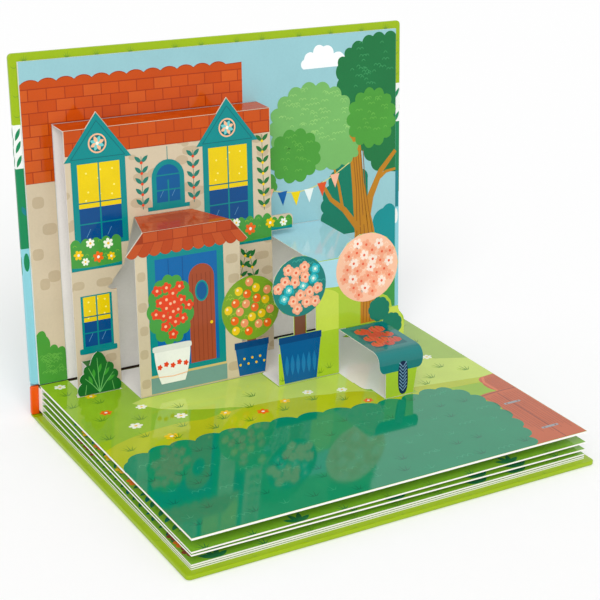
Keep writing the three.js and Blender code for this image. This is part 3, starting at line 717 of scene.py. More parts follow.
for x in np.arange(-116, 92, 15.5):
    for u in np.arange(-188, -118, 13.5):
        px, pu = x + growth.uniform(-5, 5), u + growth.uniform(-4, 4)
        kind = growth.integers(0, 3)
        if kind == 0:
            meadow += tuft(px, pu, 6.0, HEDGE_MARK, 4, 4, growth.uniform(-25, 25))
        if kind == 1:
            for k in range(3):
                path = np.stack([px + 3.6 * k + 1.7 * np.cos(arc), pu + 2.2 * np.sin(arc)], -1)
                meadow.append((stroke(path, 0.45), HEDGE_LIGHT, 4))
        if kind == 2:
            meadow += tuft(px, pu, 5.0, HEDGE_LIGHT, 4, 3, growth.uniform(-15, 15))
print_on("meadow_print", level_plane(HINGE_Y, FLOOR_TOP), meadow, floor_ink, "page_block")

# Backdrop: the upright half of the open spread, one die-cut laminated sheet glued along
# its edges to the white page behind; printed with sky, tiled roof, wall and trees.
SKY = srgb(146, 193, 200)
CLOUD = srgb(242, 244, 244)
TILE = srgb(196, 78, 10)
TILE_WARM = srgb(200, 86, 20)
TILE_DEEP = srgb(190, 72, 4)
TILE_LINE = srgb(160, 52, 4)
WALL = srgb(206, 190, 162)
STONE = srgb(190, 172, 142)
CROWN_LIGHT = srgb(114, 176, 96)
CROWN_MARK = srgb(146, 200, 112)
CROWN_MID = srgb(72, 150, 54)
CROWN_MID_MARK = srgb(104, 176, 70)
CROWN_DARK = srgb(24, 112, 60)
CROWN_DARK_MARK = srgb(60, 150, 92)
CROWN_TEAL = srgb(0, 118, 92)
BUSH_TEAL = srgb(4, 138, 142)
BUSH_GREEN = srgb(60, 150, 70)
TRUNK = srgb(184, 124, 24)
TRUNK_LINE = srgb(138, 84, 18)
CORD = srgb(206, 206, 130)
BUNTING = (srgb(240, 180, 150), srgb(0, 92, 160), srgb(236, 206, 0), srgb(232, 240, 236), srgb(220, 80, 30))
SHEET_LEFT = -125.4
HOUSE_SLOT = -108.1
dress("backdrop_sheet", sheet_card("sky_card", SKY, SKY, 0.10, 0.22, wash=0.05))
card_ink = ink_material("card_ink", 0.10, 0.22)


def cloud_ring(x, u, half_width, half_height, lobes, bulge, turn=0.0):
    """A crown of leaves: `lobes` corners on an ellipse, anticlockwise, each side swollen by `bulge`."""
    return lobed(oval(x, u, half_width, half_height, turn, lobes), bulge)


def tile_courses(left, right, low, high, course, width, level, shades, joint=0.55):
    """Roof tiles in courses: rectangles a joint apart, every other course moved by half a tile. `left`
    and `right` are numbers or functions of the height, and the tiles are cut off at them."""
    left_at = left if callable(left) else lambda u: left
    right_at = right if callable(right) else lambda u: right
    made = []
    for row in range(int(round((high - low) / course))):
        bottom = low + row * course + joint / 2
        top = min(low + (row + 1) * course - joint / 2, high)
        first, last = left_at(bottom), right_at(bottom)
        start = math.floor(first / width) * width - (width / 2 if row % 2 else 0)
        for k in range(int((last - start) / width) + 2):
            near, far = start + k * width + joint / 2, start + (k + 1) * width - joint / 2
            a0, a1 = max(near, first), min(far, last)
            b0, b1 = max(near, left_at(top)), min(far, right_at(top))
            if a1 - a0 > 0.6 and b1 - b0 > 0.6:
                made.append((np.array([(a0, bottom), (a1, bottom), (b1, top), (b0, top)]),
                             shades[(3 * row + 5 * k) % len(shades)], level))
    return made


def leaf_marks(inside, count, x_range, u_range, colour, level, seed, size=1.7):
    """Small arcs scattered over a crown of leaves: random places that the test `inside` keeps."""
    rng = np.random.default_rng(seed)
    x = rng.uniform(*x_range, count)
    u = rng.uniform(*u_range, count)
    made = []
    arc = np.linspace(0.1 * math.pi, 0.9 * math.pi, 6)
    for px, pu in np.stack([x, u], -1)[inside(x, u)]:
        for k in range(rng.integers(1, 3)):
            path = np.stack([px + 1.5 * size * k + 0.75 * size * np.cos(arc), pu + size * np.sin(arc)], -1)
            made.append((stroke(path, 0.34), colour, level))
    return made


def within_oval(x0, u0, half_width, half_height):
    """True where (x - x0, u - u0) lies inside an ellipse."""
    return lambda x, u: ((x - x0) / half_width) ** 2 + ((u - u0) / half_height) ** 2 < 1


def stones(places, half_height, level):
    """Rounded wall stones: (x, u, half-width) each."""
    return [(soft_box(x - half, x + half, u - half_height, u + half_height, 3.0), STONE, level)
            for x, u, half in places]


ridge_x = [14 - 10.7 * k for k in range(1, 13)]
scenery = [
    (lobed([(-125.45, 119), (HOUSE_SLOT, 119), (HOUSE_SLOT, 151.6), (14, 151.6), (14, 176)]
           + [(x, 175.6) for x in ridge_x] + [(-125.45, 174.6)], [0] * 5 + [2.0] * 12 + [0]), TILE_LINE, 0),
    (box(-125.45, HOUSE_SLOT, 0.4, 119), WALL, 0),
    (lobed([(-125.45, 0.4), (HOUSE_SLOT, 0.4), (HOUSE_SLOT, 19), (-112.6, 20.5), (-117.6, 22.0), (-119.4, 29),
            (-125.45, 30.5)], [0, 0, 1.6, 2.0, 1.0, 3.0, 0]), CROWN_MID, 2),
]
scenery += tile_courses(SHEET_LEFT, -108.2, 119, 152, 6.6, 11.0, 1, (TILE, TILE_DEEP, TILE_WARM))
scenery += tile_courses(SHEET_LEFT, 14.0, 152, 171.8, 6.6, 11.0, 1, (TILE, TILE_DEEP, TILE_WARM, TILE))
scenery.append((lobed([(SHEET_LEFT, 172.1), (14, 172.1), (14, 175.4)] + [(x, 175.2) for x in ridge_x]
                      + [(SHEET_LEFT, 174.4)], [0, 0, 0] + [1.9] * 12 + [0]), TILE_DEEP, 1))
scenery += stones(((-119, 108, 3.6), (-113, 92, 4.4), (-121, 78, 3.4), (-112, 64, 3.8), (-118, 60, 3.0)),
                  3.4, 1)
scenery += leaf_marks(lambda x, u: u < 18, 34, (-123, -111), (3, 18), CROWN_MID_MARK, 3, 3)
scenery += [
    (lobed([(57, 167.6), (87.5, 167.6), (86.5, 173.6), (79.0, 175.6), (71.5, 180.4), (64, 177.2),
            (57.5, 173.6)],
           [0, 2.4, 1.8, 2.6, 2.8, 2.0, 2.0]), CLOUD, 0),
    (lobed([(82, 168), (83, 150), (90, 128), (101, 112), (112, 98), (125.4, 96), (125.4, 184), (108, 184),
            (92, 178)],
           [1.8, 1.8, 1.8, 1.8, 0, 0, 2.4, 2.4, 2.4], 8.0), CROWN_DARK, 1),
    (lobed([(70.4, 60), (104, 60), (104, 94), (94, 108), (79, 102), (70.4, 84)], [0, 0, 2, 2, 2, 2], 9.0),
     CROWN_TEAL, 1),
    (lobed([(108, 24), (125.4, 24), (125.4, 72), (116, 73), (108, 62)], [0, 0, 3, 3, 0]), BUSH_TEAL, 2),
    (np.array([(89.5, 124), (98, 124), (101, 92), (109, 60), (113, 24), (92, 24), (94, 60), (92, 92)], float),
     TRUNK, 3),
    (stroke([(102, 64), (106, 82), (114, 98), (125.4, 110)], 6.2, 2.6), TRUNK, 4),
    (stroke([(112, 93), (118, 97), (125.4, 98)], 2.6, 1.6), TRUNK, 5),
    (stroke([(97, 62), (86, 76), (76, 84), (69, 96)], 4.4, 2.0), TRUNK, 4),
    (stroke([(85, 76), (82, 92), (78, 106)], 2.2, 1.4), TRUNK, 5),
    (cloud_ring(76, 114, 20, 9, 11, 2.6), CROWN_LIGHT, 5),
    (cloud_ring(63, 133, 29, 24, 17, 3.2), CROWN_LIGHT, 6),
    (cloud_ring(107, 133, 16.5, 17, 13, 3.0), CROWN_MID, 7),
    (cloud_ring(50, 115, 17.0, 15.0, 12, 2.8), CROWN_MID, 7),
    (lobed([(24.6, 92), (34, 94), (36, 100), (31, 106), (24.6, 107)], [2, 2, 2, 2, 0]), CROWN_MID, 7),
    (lobed([(84.6, 1), (125.4, 1), (125.4, 30), (112, 34), (98, 30), (84.6, 33)],
           [0, 0, 2.4, 2.4, 2.4, 0], 8.0),
     BUSH_GREEN, 5),
]
for k in range(5):
    grain = [(92.8 + 1.9 * k, 113), (95.4 + 1.7 * k, 88), (95.6 + 3.0 * k, 58), (94.6 + 4.0 * k, 28)]
    scenery.append((stroke(grain, 0.5), TRUNK_LINE, 4))
scenery += leaf_marks(within_oval(63, 134, 27, 22), 90, (36, 90), (110, 156), CROWN_MARK, 7, 4)
scenery += leaf_marks(within_oval(107, 133, 14, 14), 36, (92, 122), (118, 148), CROWN_MID_MARK, 8, 6)
scenery += leaf_marks(within_oval(50, 115, 14, 12), 32, (36, 66), (102, 130), CROWN_MID_MARK, 8, 7)
scenery += leaf_marks(lambda x, u: u > 152, 26, (92, 120), (150, 180), CROWN_DARK_MARK, 2, 8)
line_x = np.linspace(24.6, 90, 14)
line_u = 98 - 9.5 * np.sin(math.pi * (line_x - 24.6) / 65.4) + 8 * (line_x - 24.6) / 65.4
scenery.append((stroke(np.stack([line_x, line_u], -1), 0.6), CORD, 8))
for k in range(6):
    x = 31 + 9.6 * k
    top = float(np.interp(x, line_x, line_u))
    scenery.append((np.array([(x - 3.4, top), (x + 3.4, top + 0.4), (x + 0.3, top - 8.6)]),
                    BUNTING[k % 5], 9))
print_on("scenery_print", standing, scenery, card_ink, "front_cover")

# House front: the largest pop-up, folded out of the spread. A level roof strip joins it
# to the backdrop; the face is printed with cream stone, tiles, teal gables and windows.
TEAL = srgb(0, 134, 134)
TEAL_DARK = srgb(0, 104, 110)
TEAL_PALE = srgb(110, 200, 200)
GLASS = srgb(0, 88, 146)
GLASS_DEEP = srgb(0, 72, 132)
GLINT = srgb(90, 150, 190)
BLIND = srgb(230, 200, 0)
BLIND_DOT = srgb(250, 236, 120)
PEACH = srgb(240, 186, 146)
RED = srgb(226, 66, 24)
SPRIG = srgb(34, 110, 52)
SPRIG_TEAL = srgb(30, 120, 104)
BERRY = srgb(238, 196, 20)
BOX_GREEN = srgb(70, 152, 62)
BOX_MARK = srgb(126, 186, 60)
HOUSE_HEIGHT = 151.5
HOUSE_FOOT = FOLD_Y - 15.6
WALL_STONES = (STONE, 62.0, (1.0, 1.0, 1.5), 0.27)
dress("house_popup", sheet_card("cottage_card", WALL, TILE_DEEP, 0.10, 0.22, blots=WALL_STONES, wash=0.05))


def arch(left, right, low, spring):
    """An opening with a round head: two lower corners, then a half circle that starts at `spring`."""
    rise = (right - left) / 2
    head = oval((left + right) / 2, spring, rise, rise, count=24)[:13]
    return np.concatenate([box(left, right, low, spring)[:2], head])


def window(left, right, low, high, frame_width, level, blind_share=0.6, arched=False):
    """A cottage window: teal frame, navy panes, a yellow blind over the upper part, thin bars and glints."""
    middle = (left + right) / 2
    inner_left, inner_right = left + frame_width, right - frame_width
    inner_low, inner_high = low + frame_width * 0.7, high - frame_width * 0.5
    blind_low = inner_high - (inner_high - inner_low) * blind_share
    made = [(arch(left, right, low, high) if arched else box(left, right, low, high), TEAL, level),
            (box(inner_left, inner_right, inner_low, inner_high), GLASS_DEEP, level + 1)]
    if arched:
        made.append((arch(inner_left, inner_right, inner_low, high), GLASS, level + 1))
    if blind_share > 0:
        hem = [(inner_right - (inner_right - inner_left) * k / 4, blind_low) for k in range(4)]
        heads = [(inner_left, blind_low), (inner_left, inner_high), (inner_right, inner_high)]
        made.append((np.array(heads + hem), BLIND, level + 2))
        rng = np.random.default_rng(int(left * 7) % 97)
        for k in range(9):
            x = inner_left + (inner_right - inner_left) * ((k * 0.31 + 0.12) % 0.9 + 0.05)
            u = blind_low + (inner_high - blind_low) * ((k * 0.47 + 0.1 + 0.1 * rng.random()) % 0.88 + 0.06)
            made.append((dot(x, u, 0.55), BLIND_DOT, level + 3))
    for k in range(2):
        x = inner_left + (inner_right - inner_left) * (0.14 + 0.5 * k)
        made.append((stroke([(x, inner_low + 3), (x + 2.6, inner_low + 7.5)], 0.28), GLINT, level + 3))
    lower_bar = inner_low + (blind_low - inner_low) * 0.52
    made += [(box(middle - 0.45, middle + 0.45, inner_low, inner_high), TEAL, level + 4),
             (box(inner_left, inner_right, blind_low + 2.6, blind_low + 3.3),
              TEAL_DARK if blind_share > 0 else TEAL, level + 5),
             (box(inner_left, inner_right, lower_bar, lower_bar + 0.7), TEAL, level + 5)]
    return made


def sprig(x, u, length, turn, leaves, level, tone=SPRIG, berry=BERRY):
    """A climbing sprig: a thin stem, pairs of narrow leaves and a berry at each joint."""
    a = math.radians(turn)
    step = np.array([math.cos(a), math.sin(a)]) * length / leaves
    foot = np.array([x, u], float)
    made = [(stroke([foot, foot + step * leaves / 2, foot + step * leaves], 0.4, 0.25), tone, level)]
    for k in range(leaves):
        px, pu = foot + step * (k + 0.4)
        made += [(leaf(px, pu, 5.8, 2.4, turn + side, 7), tone, level + 1) for side in (46, -46)]
        made.append((dot(px, pu, 0.9), berry, level + 2))
    return made


def gable_front(centre, level):
    """A dormer gable: a teal triangle, a darker inner line, and a round wooden vent with eight wedges."""
    made = [(np.array([(centre - 20.5, 133.3), (centre + 20.5, 133.3), (centre, 159.9)]), TEAL, level)]
    for side in (-1, 1):
        foot = (centre + side * 16.5, 134.6)
        made += [(stroke([foot, (centre, 155.4)], 0.45), TEAL_DARK, level + 1),
                 (stroke([(centre, 134.6), foot], 0.45), TEAL_DARK, level + 1)]
    vent = 142.6
    made += [(dot(centre, vent, 5.6, 28), PEACH, level + 2),
             (dot(centre, vent, 4.7, 28), TEAL_DARK, level + 3)]
    for k in range(8):
        made.append((leaf(centre, vent, 4.5, 2.2, 45 * k + 22.5, 6), TEAL_PALE if k % 2 else PEACH,
                     level + 4))
    made.append((dot(centre, vent, 1.0, 10), DAISY_WHITE, level + 5))
    return made


def window_box(left, right, low, foliage_top, level, seed, flowers):
    """A planted window box: a teal trough and a row of leafy lobes, with flowers set along it."""
    rng = np.random.default_rng(seed)
    count = max(3, int((right - left) / 5.5))
    crests = [(x, foliage_top - 3.0) for x in np.linspace(right, left, count + 1)]
    foliage = lobed([(left, low + 2.2), (right, low + 2.2)] + crests, [0.8, 0] + [2.6] * count + [0])
    made = [(box(left, right, low, low + 4.6), TEAL, level), (foliage, BOX_GREEN, level + 1)]
    arc = np.linspace(0, math.pi, 5)
    for k in range(int((right - left) / 3)):
        x, u = rng.uniform(left + 2, right - 2), rng.uniform(low + 5, foliage_top - 3)
        path = np.stack([x + np.cos(arc), u + 1.1 * np.sin(arc)], -1)
        made.append((stroke(path, 0.3), BOX_MARK, level + 2))
    for x, u, radius, petal in flowers:
        heart = DAISY_YELLOW if petal is DAISY_WHITE else DAISY_WHITE
        made += daisy(x, u, radius, petal, heart, level + 3, 1.0, rng.uniform(0, 60))
    return made


front_art = [(box(-107.7, 23.2, 136.9, 151.2), TILE_LINE, 0)]
front_art += tile_courses(-107.7, 23.2, 137.1, 151.2, 7.05, 11.4, 1, (TILE_DEEP, TILE, TILE_DEEP))
for centre in (-88.0, -5.5):
    front_art += window(centre - 16.6, centre + 16.6, 84.0, 133.5, 3.7, 2, 0.56)
    front_art += gable_front(centre, 6)
front_art += window(-55.5, -34.5, 101.5, 118.0, 3.0, 2, 0.0, arched=True)
front_art.append((box(-58.5, -31.5, 99.2, 101.6), TEAL, 3))
front_art.append((stroke([(-45, 127.6), (-45, 136.0)], 0.4), TEAL, 3))
for x in (-61.5, -28.5):
    front_art += sprig(x, 101.0, 31.0, 90, 5, 2, SPRIG_TEAL, RED)
front_art += sprig(18.6, 90.0, 46.0, 91, 7, 2)
front_art += sprig(-1.5, 42.0, 26.0, 74, 4, 2)
front_art += sprig(12.0, 40.0, 26.0, 100, 4, 2)
front_art += window(-103.4, -84.0, 24.0, 55.5, 1.5, 2, 0.5)
front_art.append((soft_box(-105.6, -82.0, 20.6, 24.2, 8), TEAL, 3))
front_art += window_box(-107.6, -76.4, 70.6, 89.5, 7, 31, (
    (-103, 80, 3.0, DAISY_YELLOW), (-95.5, 86, 2.8, DAISY_WHITE), (-91, 77.4, 3.4, DAISY_ORANGE),
    (-84.5, 84.5, 3.2, DAISY_WHITE), (-83, 76.8, 2.6, DAISY_YELLOW), (-99, 75.6, 2.4, DAISY_WHITE)))
front_art += window_box(-18.6, 23.2, 70.6, 88.0, 7, 32, (
    (-12, 84, 3.2, DAISY_YELLOW), (-14, 76, 2.8, DAISY_WHITE), (-1, 84.6, 2.8, DAISY_WHITE),
    (8.6, 79.6, 3.8, DAISY_ORANGE), (-6, 77.4, 2.4, DAISY_YELLOW)))
front_art += window_box(22.8, 37.9, 76.3, 85.0, 7, 33, (
    (22.4, 81.4, 3.3, DAISY_YELLOW), (31.8, 80.6, 2.6, DAISY_WHITE)))
front_art += stones(((-62, 120, 5.0), (-27, 108, 4.6), (-30, 132, 5.2), (16, 62, 5.0), (15, 28, 5.6),
                     (3, 30, 4.4),
                     (-104, 62, 3.6), (-88, 62, 5.0), (-86.5, 16, 3.6), (-60, 104, 4.0)), 2.5, 0)
print_on("house_front_print", standing_plane(HOUSE_FOOT), front_art, card_ink, "page_block")

roof_tiles = tile_courses(-107.6, 23.1, 8.2, 15.0, 6.6, 11.2, 1, (TILE_DEEP, TILE))
roof_tiles += tile_courses(-65.0, -28.5, 0.6, 7.2, 6.6, 11.2, 1, (TILE, TILE_DEEP))
print_on("roof_strip_print", strip_plane(HOUSE_FOOT, HOUSE_HEIGHT), roof_tiles, card_ink, "page_block")

# Porch: folded out of the house front, with a scalloped, tiled canopy that overhangs a
# cream wall and a door; a round tree in a pot is cut out beside the wall.
CANOPY = srgb(180, 68, 22)
CANOPY_WARM = srgb(188, 78, 30)
CANOPY_LINE = srgb(156, 54, 16)
DOOR_BLUE = srgb(0, 98, 164)
DOOR_BLUE_LINE = srgb(0, 78, 140)
DOOR_WOOD = srgb(160, 72, 40)
DOOR_WOOD_LINE = srgb(122, 48, 24)
STEP = srgb(112, 152, 144)
THRESHOLD = srgb(206, 184, 118)
URN = srgb(236, 236, 230)
URN_RIM = srgb(222, 222, 216)
FRUIT = srgb(240, 150, 100)
FRUIT_CHEEK = srgb(252, 222, 170)
PORCH_HEIGHT = 97.5
PORCH_DEPTH = 26.4
PORCH_FOOT = HOUSE_FOOT - PORCH_DEPTH
GOLDEN_ANGLE = 2.399963
dress("porch_popup", sheet_card("porch_card", WALL, CANOPY, 0.10, 0.22, blots=WALL_STONES, wash=0.05))

SCALLOPS = 11
eave_x = np.linspace(-8.5, -85.5, SCALLOPS + 1)
porch_art = [
    (lobed([*zip(eave_x[::-1], np.full(SCALLOPS + 1, 85.0)), (-19.2, 97.3), (-74.8, 97.3)],
           [1.9] * SCALLOPS + [0, 0, 0]), CANOPY_LINE, 6),
    (box(-80.2, -13.8, 0.6, 15.0), THRESHOLD, 0),
    (box(-73.2, -24.4, 12.0, 84.6), TEAL, 1),
    (box(-68.4, -28.8, 15.0, 80.6), DOOR_BLUE, 2),
    (box(-73.6, -24.0, 1.0, 10.6), STEP, 2),
    (box(-80.2, -73.4, 0.8, 84.6), WALL, 1),
    (box(-24.2, -13.8, 0.8, 84.6), WALL, 1),
]
porch_art += tile_courses(lambda u: -85.7 + (u - 85.0) * 11.0 / 12.5,
                          lambda u: -8.3 - (u - 85.0) * 11.0 / 12.5,
                          91.3, 97.2, 5.9, 9.4, 7, (CANOPY, CANOPY_WARM), 0.5)
for k in range(SCALLOPS):
    ends = np.array([eave_x[k + 1] + 0.16, eave_x[k] - 0.16])
    heads = ends + (-47.0 - ends) * 0.135
    scallop = lobed([(ends[0], 85.0), (ends[1], 85.0), (heads[1], 91.0), (heads[0], 91.0)], [1.7, 0, 0, 0])
    porch_art.append((scallop, CANOPY if k % 2 else CANOPY_WARM, 7))
porch_art.append((arch(-47.5, -31.0, 15.2, 66), DOOR_WOOD, 3))
porch_art += [(box(-45.2 + 2.9 * k, -44.9 + 2.9 * k, 15.6, 68.6), DOOR_WOOD_LINE, 4) for k in range(5)]
porch_art += [
    (oval(-39.25, 58.0, 4.4, 6.4, count=20), TEAL, 5),
    (oval(-39.25, 58.0, 3.3, 5.2, count=20), GLASS, 6),
    (dot(-33.4, 38.0, 1.0, 10), BERRY, 5),
    (stroke([(-51.0, 15.4), (-51.0, 80.0)], 0.5), DOOR_BLUE_LINE, 3),
    (stroke([(-60.0, 15.4), (-60.0, 80.0)], 0.5), DOOR_BLUE_LINE, 3),
]
porch_art += stones(((-77, 72, 2.6), (-77, 54, 2.8), (-76.6, 40, 2.6), (-77.2, 26, 2.6), (-76.8, 8, 2.8),
                     (-19, 74, 4.0), (-18, 62, 3.6), (-19, 8, 4.2), (-20, 46, 3.2)), 2.8, 2)
URN_X = -59.5
urn = [(URN_X - 7.6, 6.0), (URN_X + 7.6, 6.0), (URN_X + 11.5, 27), (URN_X - 11.5, 27)]
porch_art += [(lobed(urn, [0, 1, 0, 1]), URN, 8),
              (soft_box(URN_X - 12.6, URN_X + 12.6, 25.6, 29.4, 6), URN_RIM, 9)]
porch_art += [(bloom(URN_X - 8.4 + 4.2 * k, 16.4 + 1.2 * (k % 2), 1.7, 5, 0.4), RED, 9) for k in range(5)]
porch_art.append((stroke([(URN_X - 9.2, 10.6), (URN_X, 9.8), (URN_X + 9.2, 10.6)], 0.6), PEACH, 9))
porch_art.append((cloud_ring(URN_X, 50.0, 13.4, 19.5, 13, 2.2), BOX_GREEN, 7))
for k in range(20):
    reach = 1.0 - 0.045 * k
    x, u = URN_X + 11.6 * reach * math.cos(2.4 * k), 51.0 + 17.5 * reach * math.sin(2.4 * k)
    porch_art += [(bloom(x, u, 3.3, 5, 0.32, 40 * k), RED, 8 + k % 2), (dot(x, u, 0.9), PEACH, 10)]


def potted_tree(centre, crown_height, crown_radius, pot_width, pot_height, tones, level, seed, fruit,
                fruit_size,
                fruit_count):
    """A clipped tree: a tapered pot with a rim, a stem, a round crown drawn just inside the cut edge,
    leaf arcs, and fruit or flowers on a sunflower spiral. `tones` are those of crown, marks, stem, pot
    and rim."""
    skirt = 0.35
    crown, marks, stem, pot, rim = tones
    half_low, half_high = pot_width * 0.38 - skirt, pot_width / 2 - skirt
    half_stem = pot_width / 7 - skirt
    pot_top = pot_height - skirt
    inner = crown_radius - 3.2
    made = [(box(centre - half_stem, centre + half_stem, pot_height / 2, crown_height), stem, level),
            (dot(centre, crown_height, crown_radius - skirt, 40), crown, level + 1),
            (np.array([(centre - half_low, 0.7), (centre + half_low, 0.7), (centre + half_high, pot_top),
                       (centre - half_high, pot_top)]), pot, level + 2),
            (box(centre - half_high, centre + half_high, pot_height - 4.4, pot_top), rim, level + 3)]
    made += leaf_marks(within_oval(centre, crown_height, inner, inner), 70,
                       (centre - crown_radius, centre + crown_radius),
                       (crown_height - crown_radius, crown_height + crown_radius), marks, level + 2, seed)
    k = np.arange(fruit_count)
    r = (crown_radius - 3.4) * np.sqrt((k + 0.5) / fruit_count)
    x, u = centre + r * np.cos(GOLDEN_ANGLE * k), crown_height + r * np.sin(GOLDEN_ANGLE * k)
    for index in range(fruit_count):
        made += [(outline, tone, level + 4 + extra)
                 for outline, tone, extra in fruit(x[index], u[index], fruit_size, index)]
    return made


def orange_fruit(x, u, size, index):
    """A round fruit with a paler cheek."""
    return [(dot(x, u, size, 14), (DAISY_ORANGE, FRUIT, BERRY)[index % 3], 0),
            (dot(x - 0.3 * size, u + 0.3 * size, 0.3 * size), FRUIT_CHEEK, 1)]


fruit_tree = (srgb(120, 160, 36), srgb(168, 196, 60), srgb(120, 70, 40), GLASS, srgb(0, 66, 120))
porch_art += potted_tree(-7.0, 42.0, 20.0, 24.0, 22.0, fruit_tree, 2, 41, orange_fruit, 2.7, 21)
porch_art += [(dot(-15.0 + 2.7 * k, 7.6 + 3.4 * (k % 2), 0.8), BERRY, 6) for k in range(7)]
print_on("porch_print", standing_plane(PORCH_FOOT), porch_art, card_ink, "page_block")

canopy_tiles = tile_courses(lambda v: -74.7 + v * 7.5 / PORCH_DEPTH, lambda v: -19.3 - v * 11.5 / PORCH_DEPTH,
                            0.8, 25.6, 6.2, 10.4, 1, (CANOPY, CANOPY, CANOPY_WARM), 0.4)
print_on("canopy_strip_print", strip_plane(PORCH_FOOT, PORCH_HEIGHT), canopy_tiles, card_ink, "page_block")

# Garden screen: a deep sky-blue strip from the backdrop carries an upright panel of sky
# and field, with a rose tree in a pot on its left and a blossom tree on its right.
FIELD = srgb(164, 196, 40)
FIELD_LIGHT = srgb(196, 214, 76)
PANEL_SKY = srgb(166, 212, 224)
ROSE = srgb(240, 164, 130)
ROSE_TEAL = srgb(10, 165, 175)
ROSE_HEART = srgb(226, 96, 60)
BLOSSOM = srgb(244, 190, 158)
BLOSSOM_PALE = srgb(246, 224, 208)
BLOSSOM_MARK = srgb(250, 214, 190)
POT_STRIPE = srgb(20, 116, 172)
GARDEN_FOOT = FOLD_Y - 63.2
dress("garden_popup", sheet_card("garden_card", FIELD, PANEL_SKY, 0.06, 0.4, wash=0.05))


def rose(x, u, size, index):
    """A rose: a lobed bloom with a smaller one turned inside it, and a heart; every fourth one is teal."""
    outer, inner, heart = (ROSE, BLOSSOM, ROSE_HEART) if index % 4 else (ROSE_TEAL, TEAL_PALE, DAISY_WHITE)
    return [(bloom(x, u, size, 5, 0.22, 47 * index), outer, 0),
            (bloom(x, u, size * 0.62, 4, 0.25, 31 * index), inner, 1), (dot(x, u, size * 0.24), heart, 2)]


garden_art = [
    (lobed([(67.0, 56.5), (67.0, 71.6), (25.3, 71.6), (25.3, 56.0)], [0, 0, 0, 1.8]), PANEL_SKY, 0),
    (lobed([(25.3, 28.4), (41.0, 28.4), (41.0, 50.0), (25.3, 54.0)], [0, 0, 2, 0]), FIELD_LIGHT, 1),
    (box(-0.6, 40.2, 0.7, 19.6), FIELD, 0),
    (box(56.6, 67.6, 28.4, 60.0), TRUNK, 2),
    (oval(61.5, 63.0, 22.1, 21.1, count=44), BLOSSOM, 3),
    (np.array([(68.4, 35.2), (83.6, 35.2), (88.4, 24), (88.4, 10), (84.0, 0.7), (73.6, 0.7), (73.6, 28.4),
               (68.4, 28.4)][::-1]), FIELD_LIGHT, 1),
    (cloud_ring(70.0, 35.5, 7.2, 7.2, 9, 1.1), CROWN_TEAL, 4),
    (cloud_ring(79.5, 24.0, 6.9, 7.2, 9, 1.1), CROWN_TEAL, 5),
    (cloud_ring(79.8, 11.0, 5.9, 8.2, 9, 1.0), CROWN_TEAL, 4),
    (np.array([(74.0, 6.0), (80.6, 6.0), (81.4, 26.0), (73.6, 36.0), (68.8, 35.0), (68.8, 29.2),
               (74.0, 29.2)]),
     CROWN_TEAL, 3),
]
garden_art += [(stroke([(58.4 + 2.4 * k, 29), (58.9 + 2.2 * k, 42)], 0.4), TRUNK_LINE, 3) for k in range(4)]
for k in range(6):
    garden_art += tuft(2.0 + 6.4 * k, 3.0 + 2.0 * (k % 2), 4.4, GRASS_MARK, 1, 4)
garden_art += leaf_marks(within_oval(61.5, 63.0, 19.5, 18.5), 60, (42, 81), (45, 81), BLOSSOM_MARK, 4, 44)
for k in range(30):
    spread = math.sqrt((k + 0.5) / 30)
    x = 61.5 + 18.6 * spread * math.cos(GOLDEN_ANGLE * k)
    u = 63.0 + 17.6 * spread * math.sin(GOLDEN_ANGLE * k)
    garden_art += [(bloom(x, u, 3.4, 5, 0.42, 53 * k), ROSE if k % 3 else BLOSSOM_PALE, 5),
                   (dot(x, u, 0.85), ROSE_HEART, 6)]
rose_tree = (srgb(20, 122, 116), srgb(60, 164, 150), srgb(110, 66, 44), GLASS, srgb(0, 66, 122))
garden_art += potted_tree(14.0, 59.0, 18.5, 30.0, 30.0, rose_tree, 2, 45, rose, 3.6, 19)
garden_art += [(leaf(4.6 + 3.8 * k, 5.0, 13.0, 2.6, 90, 9), POT_STRIPE, 6) for k in range(6)]
print_on("garden_print", standing_plane(GARDEN_FOOT), garden_art, card_ink, "page_block")

# Barrow: one narrow strip folded out of the garden screen, level on top and rolled over
# at the front; printed as a teal tray of fruit above a single wheel.
TRAY = srgb(0, 118, 116)
TRAY_EDGE = srgb(0, 98, 102)
FRUIT_RED = srgb(212, 92, 60)
FRUIT_DEEP = srgb(196, 78, 52)
FRUIT_SHADE = srgb(188, 66, 42)
TYRE = srgb(12, 40, 72)
TREAD = srgb(120, 160, 188)
BARROW_HEIGHT = 27.5
BARROW_FOOT = GARDEN_FOOT - 42.7
dress("barrow_popup", sheet_card("barrow_card", FIELD, TRAY, 0.08, 0.4, upper=(TRAY, FLOOR_TOP + 15.6),
                                 wash=0.05))
tray = [(box(46.0, 68.0, 9.6, 38.6), TRAY_EDGE, 0)]
heap = ((51.8, 33.4, 5.2), (62.2, 33.6, 5.2), (56.8, 27.6, 5.2), (50.6, 23.0, 4.4), (63.6, 24.6, 4.2),
        (56.4, 19.0, 4.9), (63.4, 16.4, 4.4), (50.4, 14.6, 4.3), (57.4, 12.9, 3.4))
for number, (x, v, size) in enumerate(heap):
    odd = number % 2
    tray.append((bloom(x, v, size, 8, 0.1, 12, 0.86), FRUIT_RED if odd else FRUIT_DEEP, 1 + odd))
    for side in (-0.45, 0.0, 0.45):
        near = x + side * size
        rib = [(near, v - 0.6 * size), (x + side * size * 1.5, v), (near, v + 0.6 * size)]
        tray.append((stroke(rib, 0.5), FRUIT_SHADE, 3 + odd))
    tray.append((soft_box(x - 0.6, x + 0.6, v + 0.35 * size, v + 0.75 * size, 3, 8), SPRIG, 5))
print_on("barrow_tray_print", strip_plane(BARROW_FOOT, BARROW_HEIGHT, 0.0), tray, card_ink, "page_block")
wheel = [(soft_box(54.6, 61.6, 0.9, 21.4, 2.6, 28), TYRE, 1)]
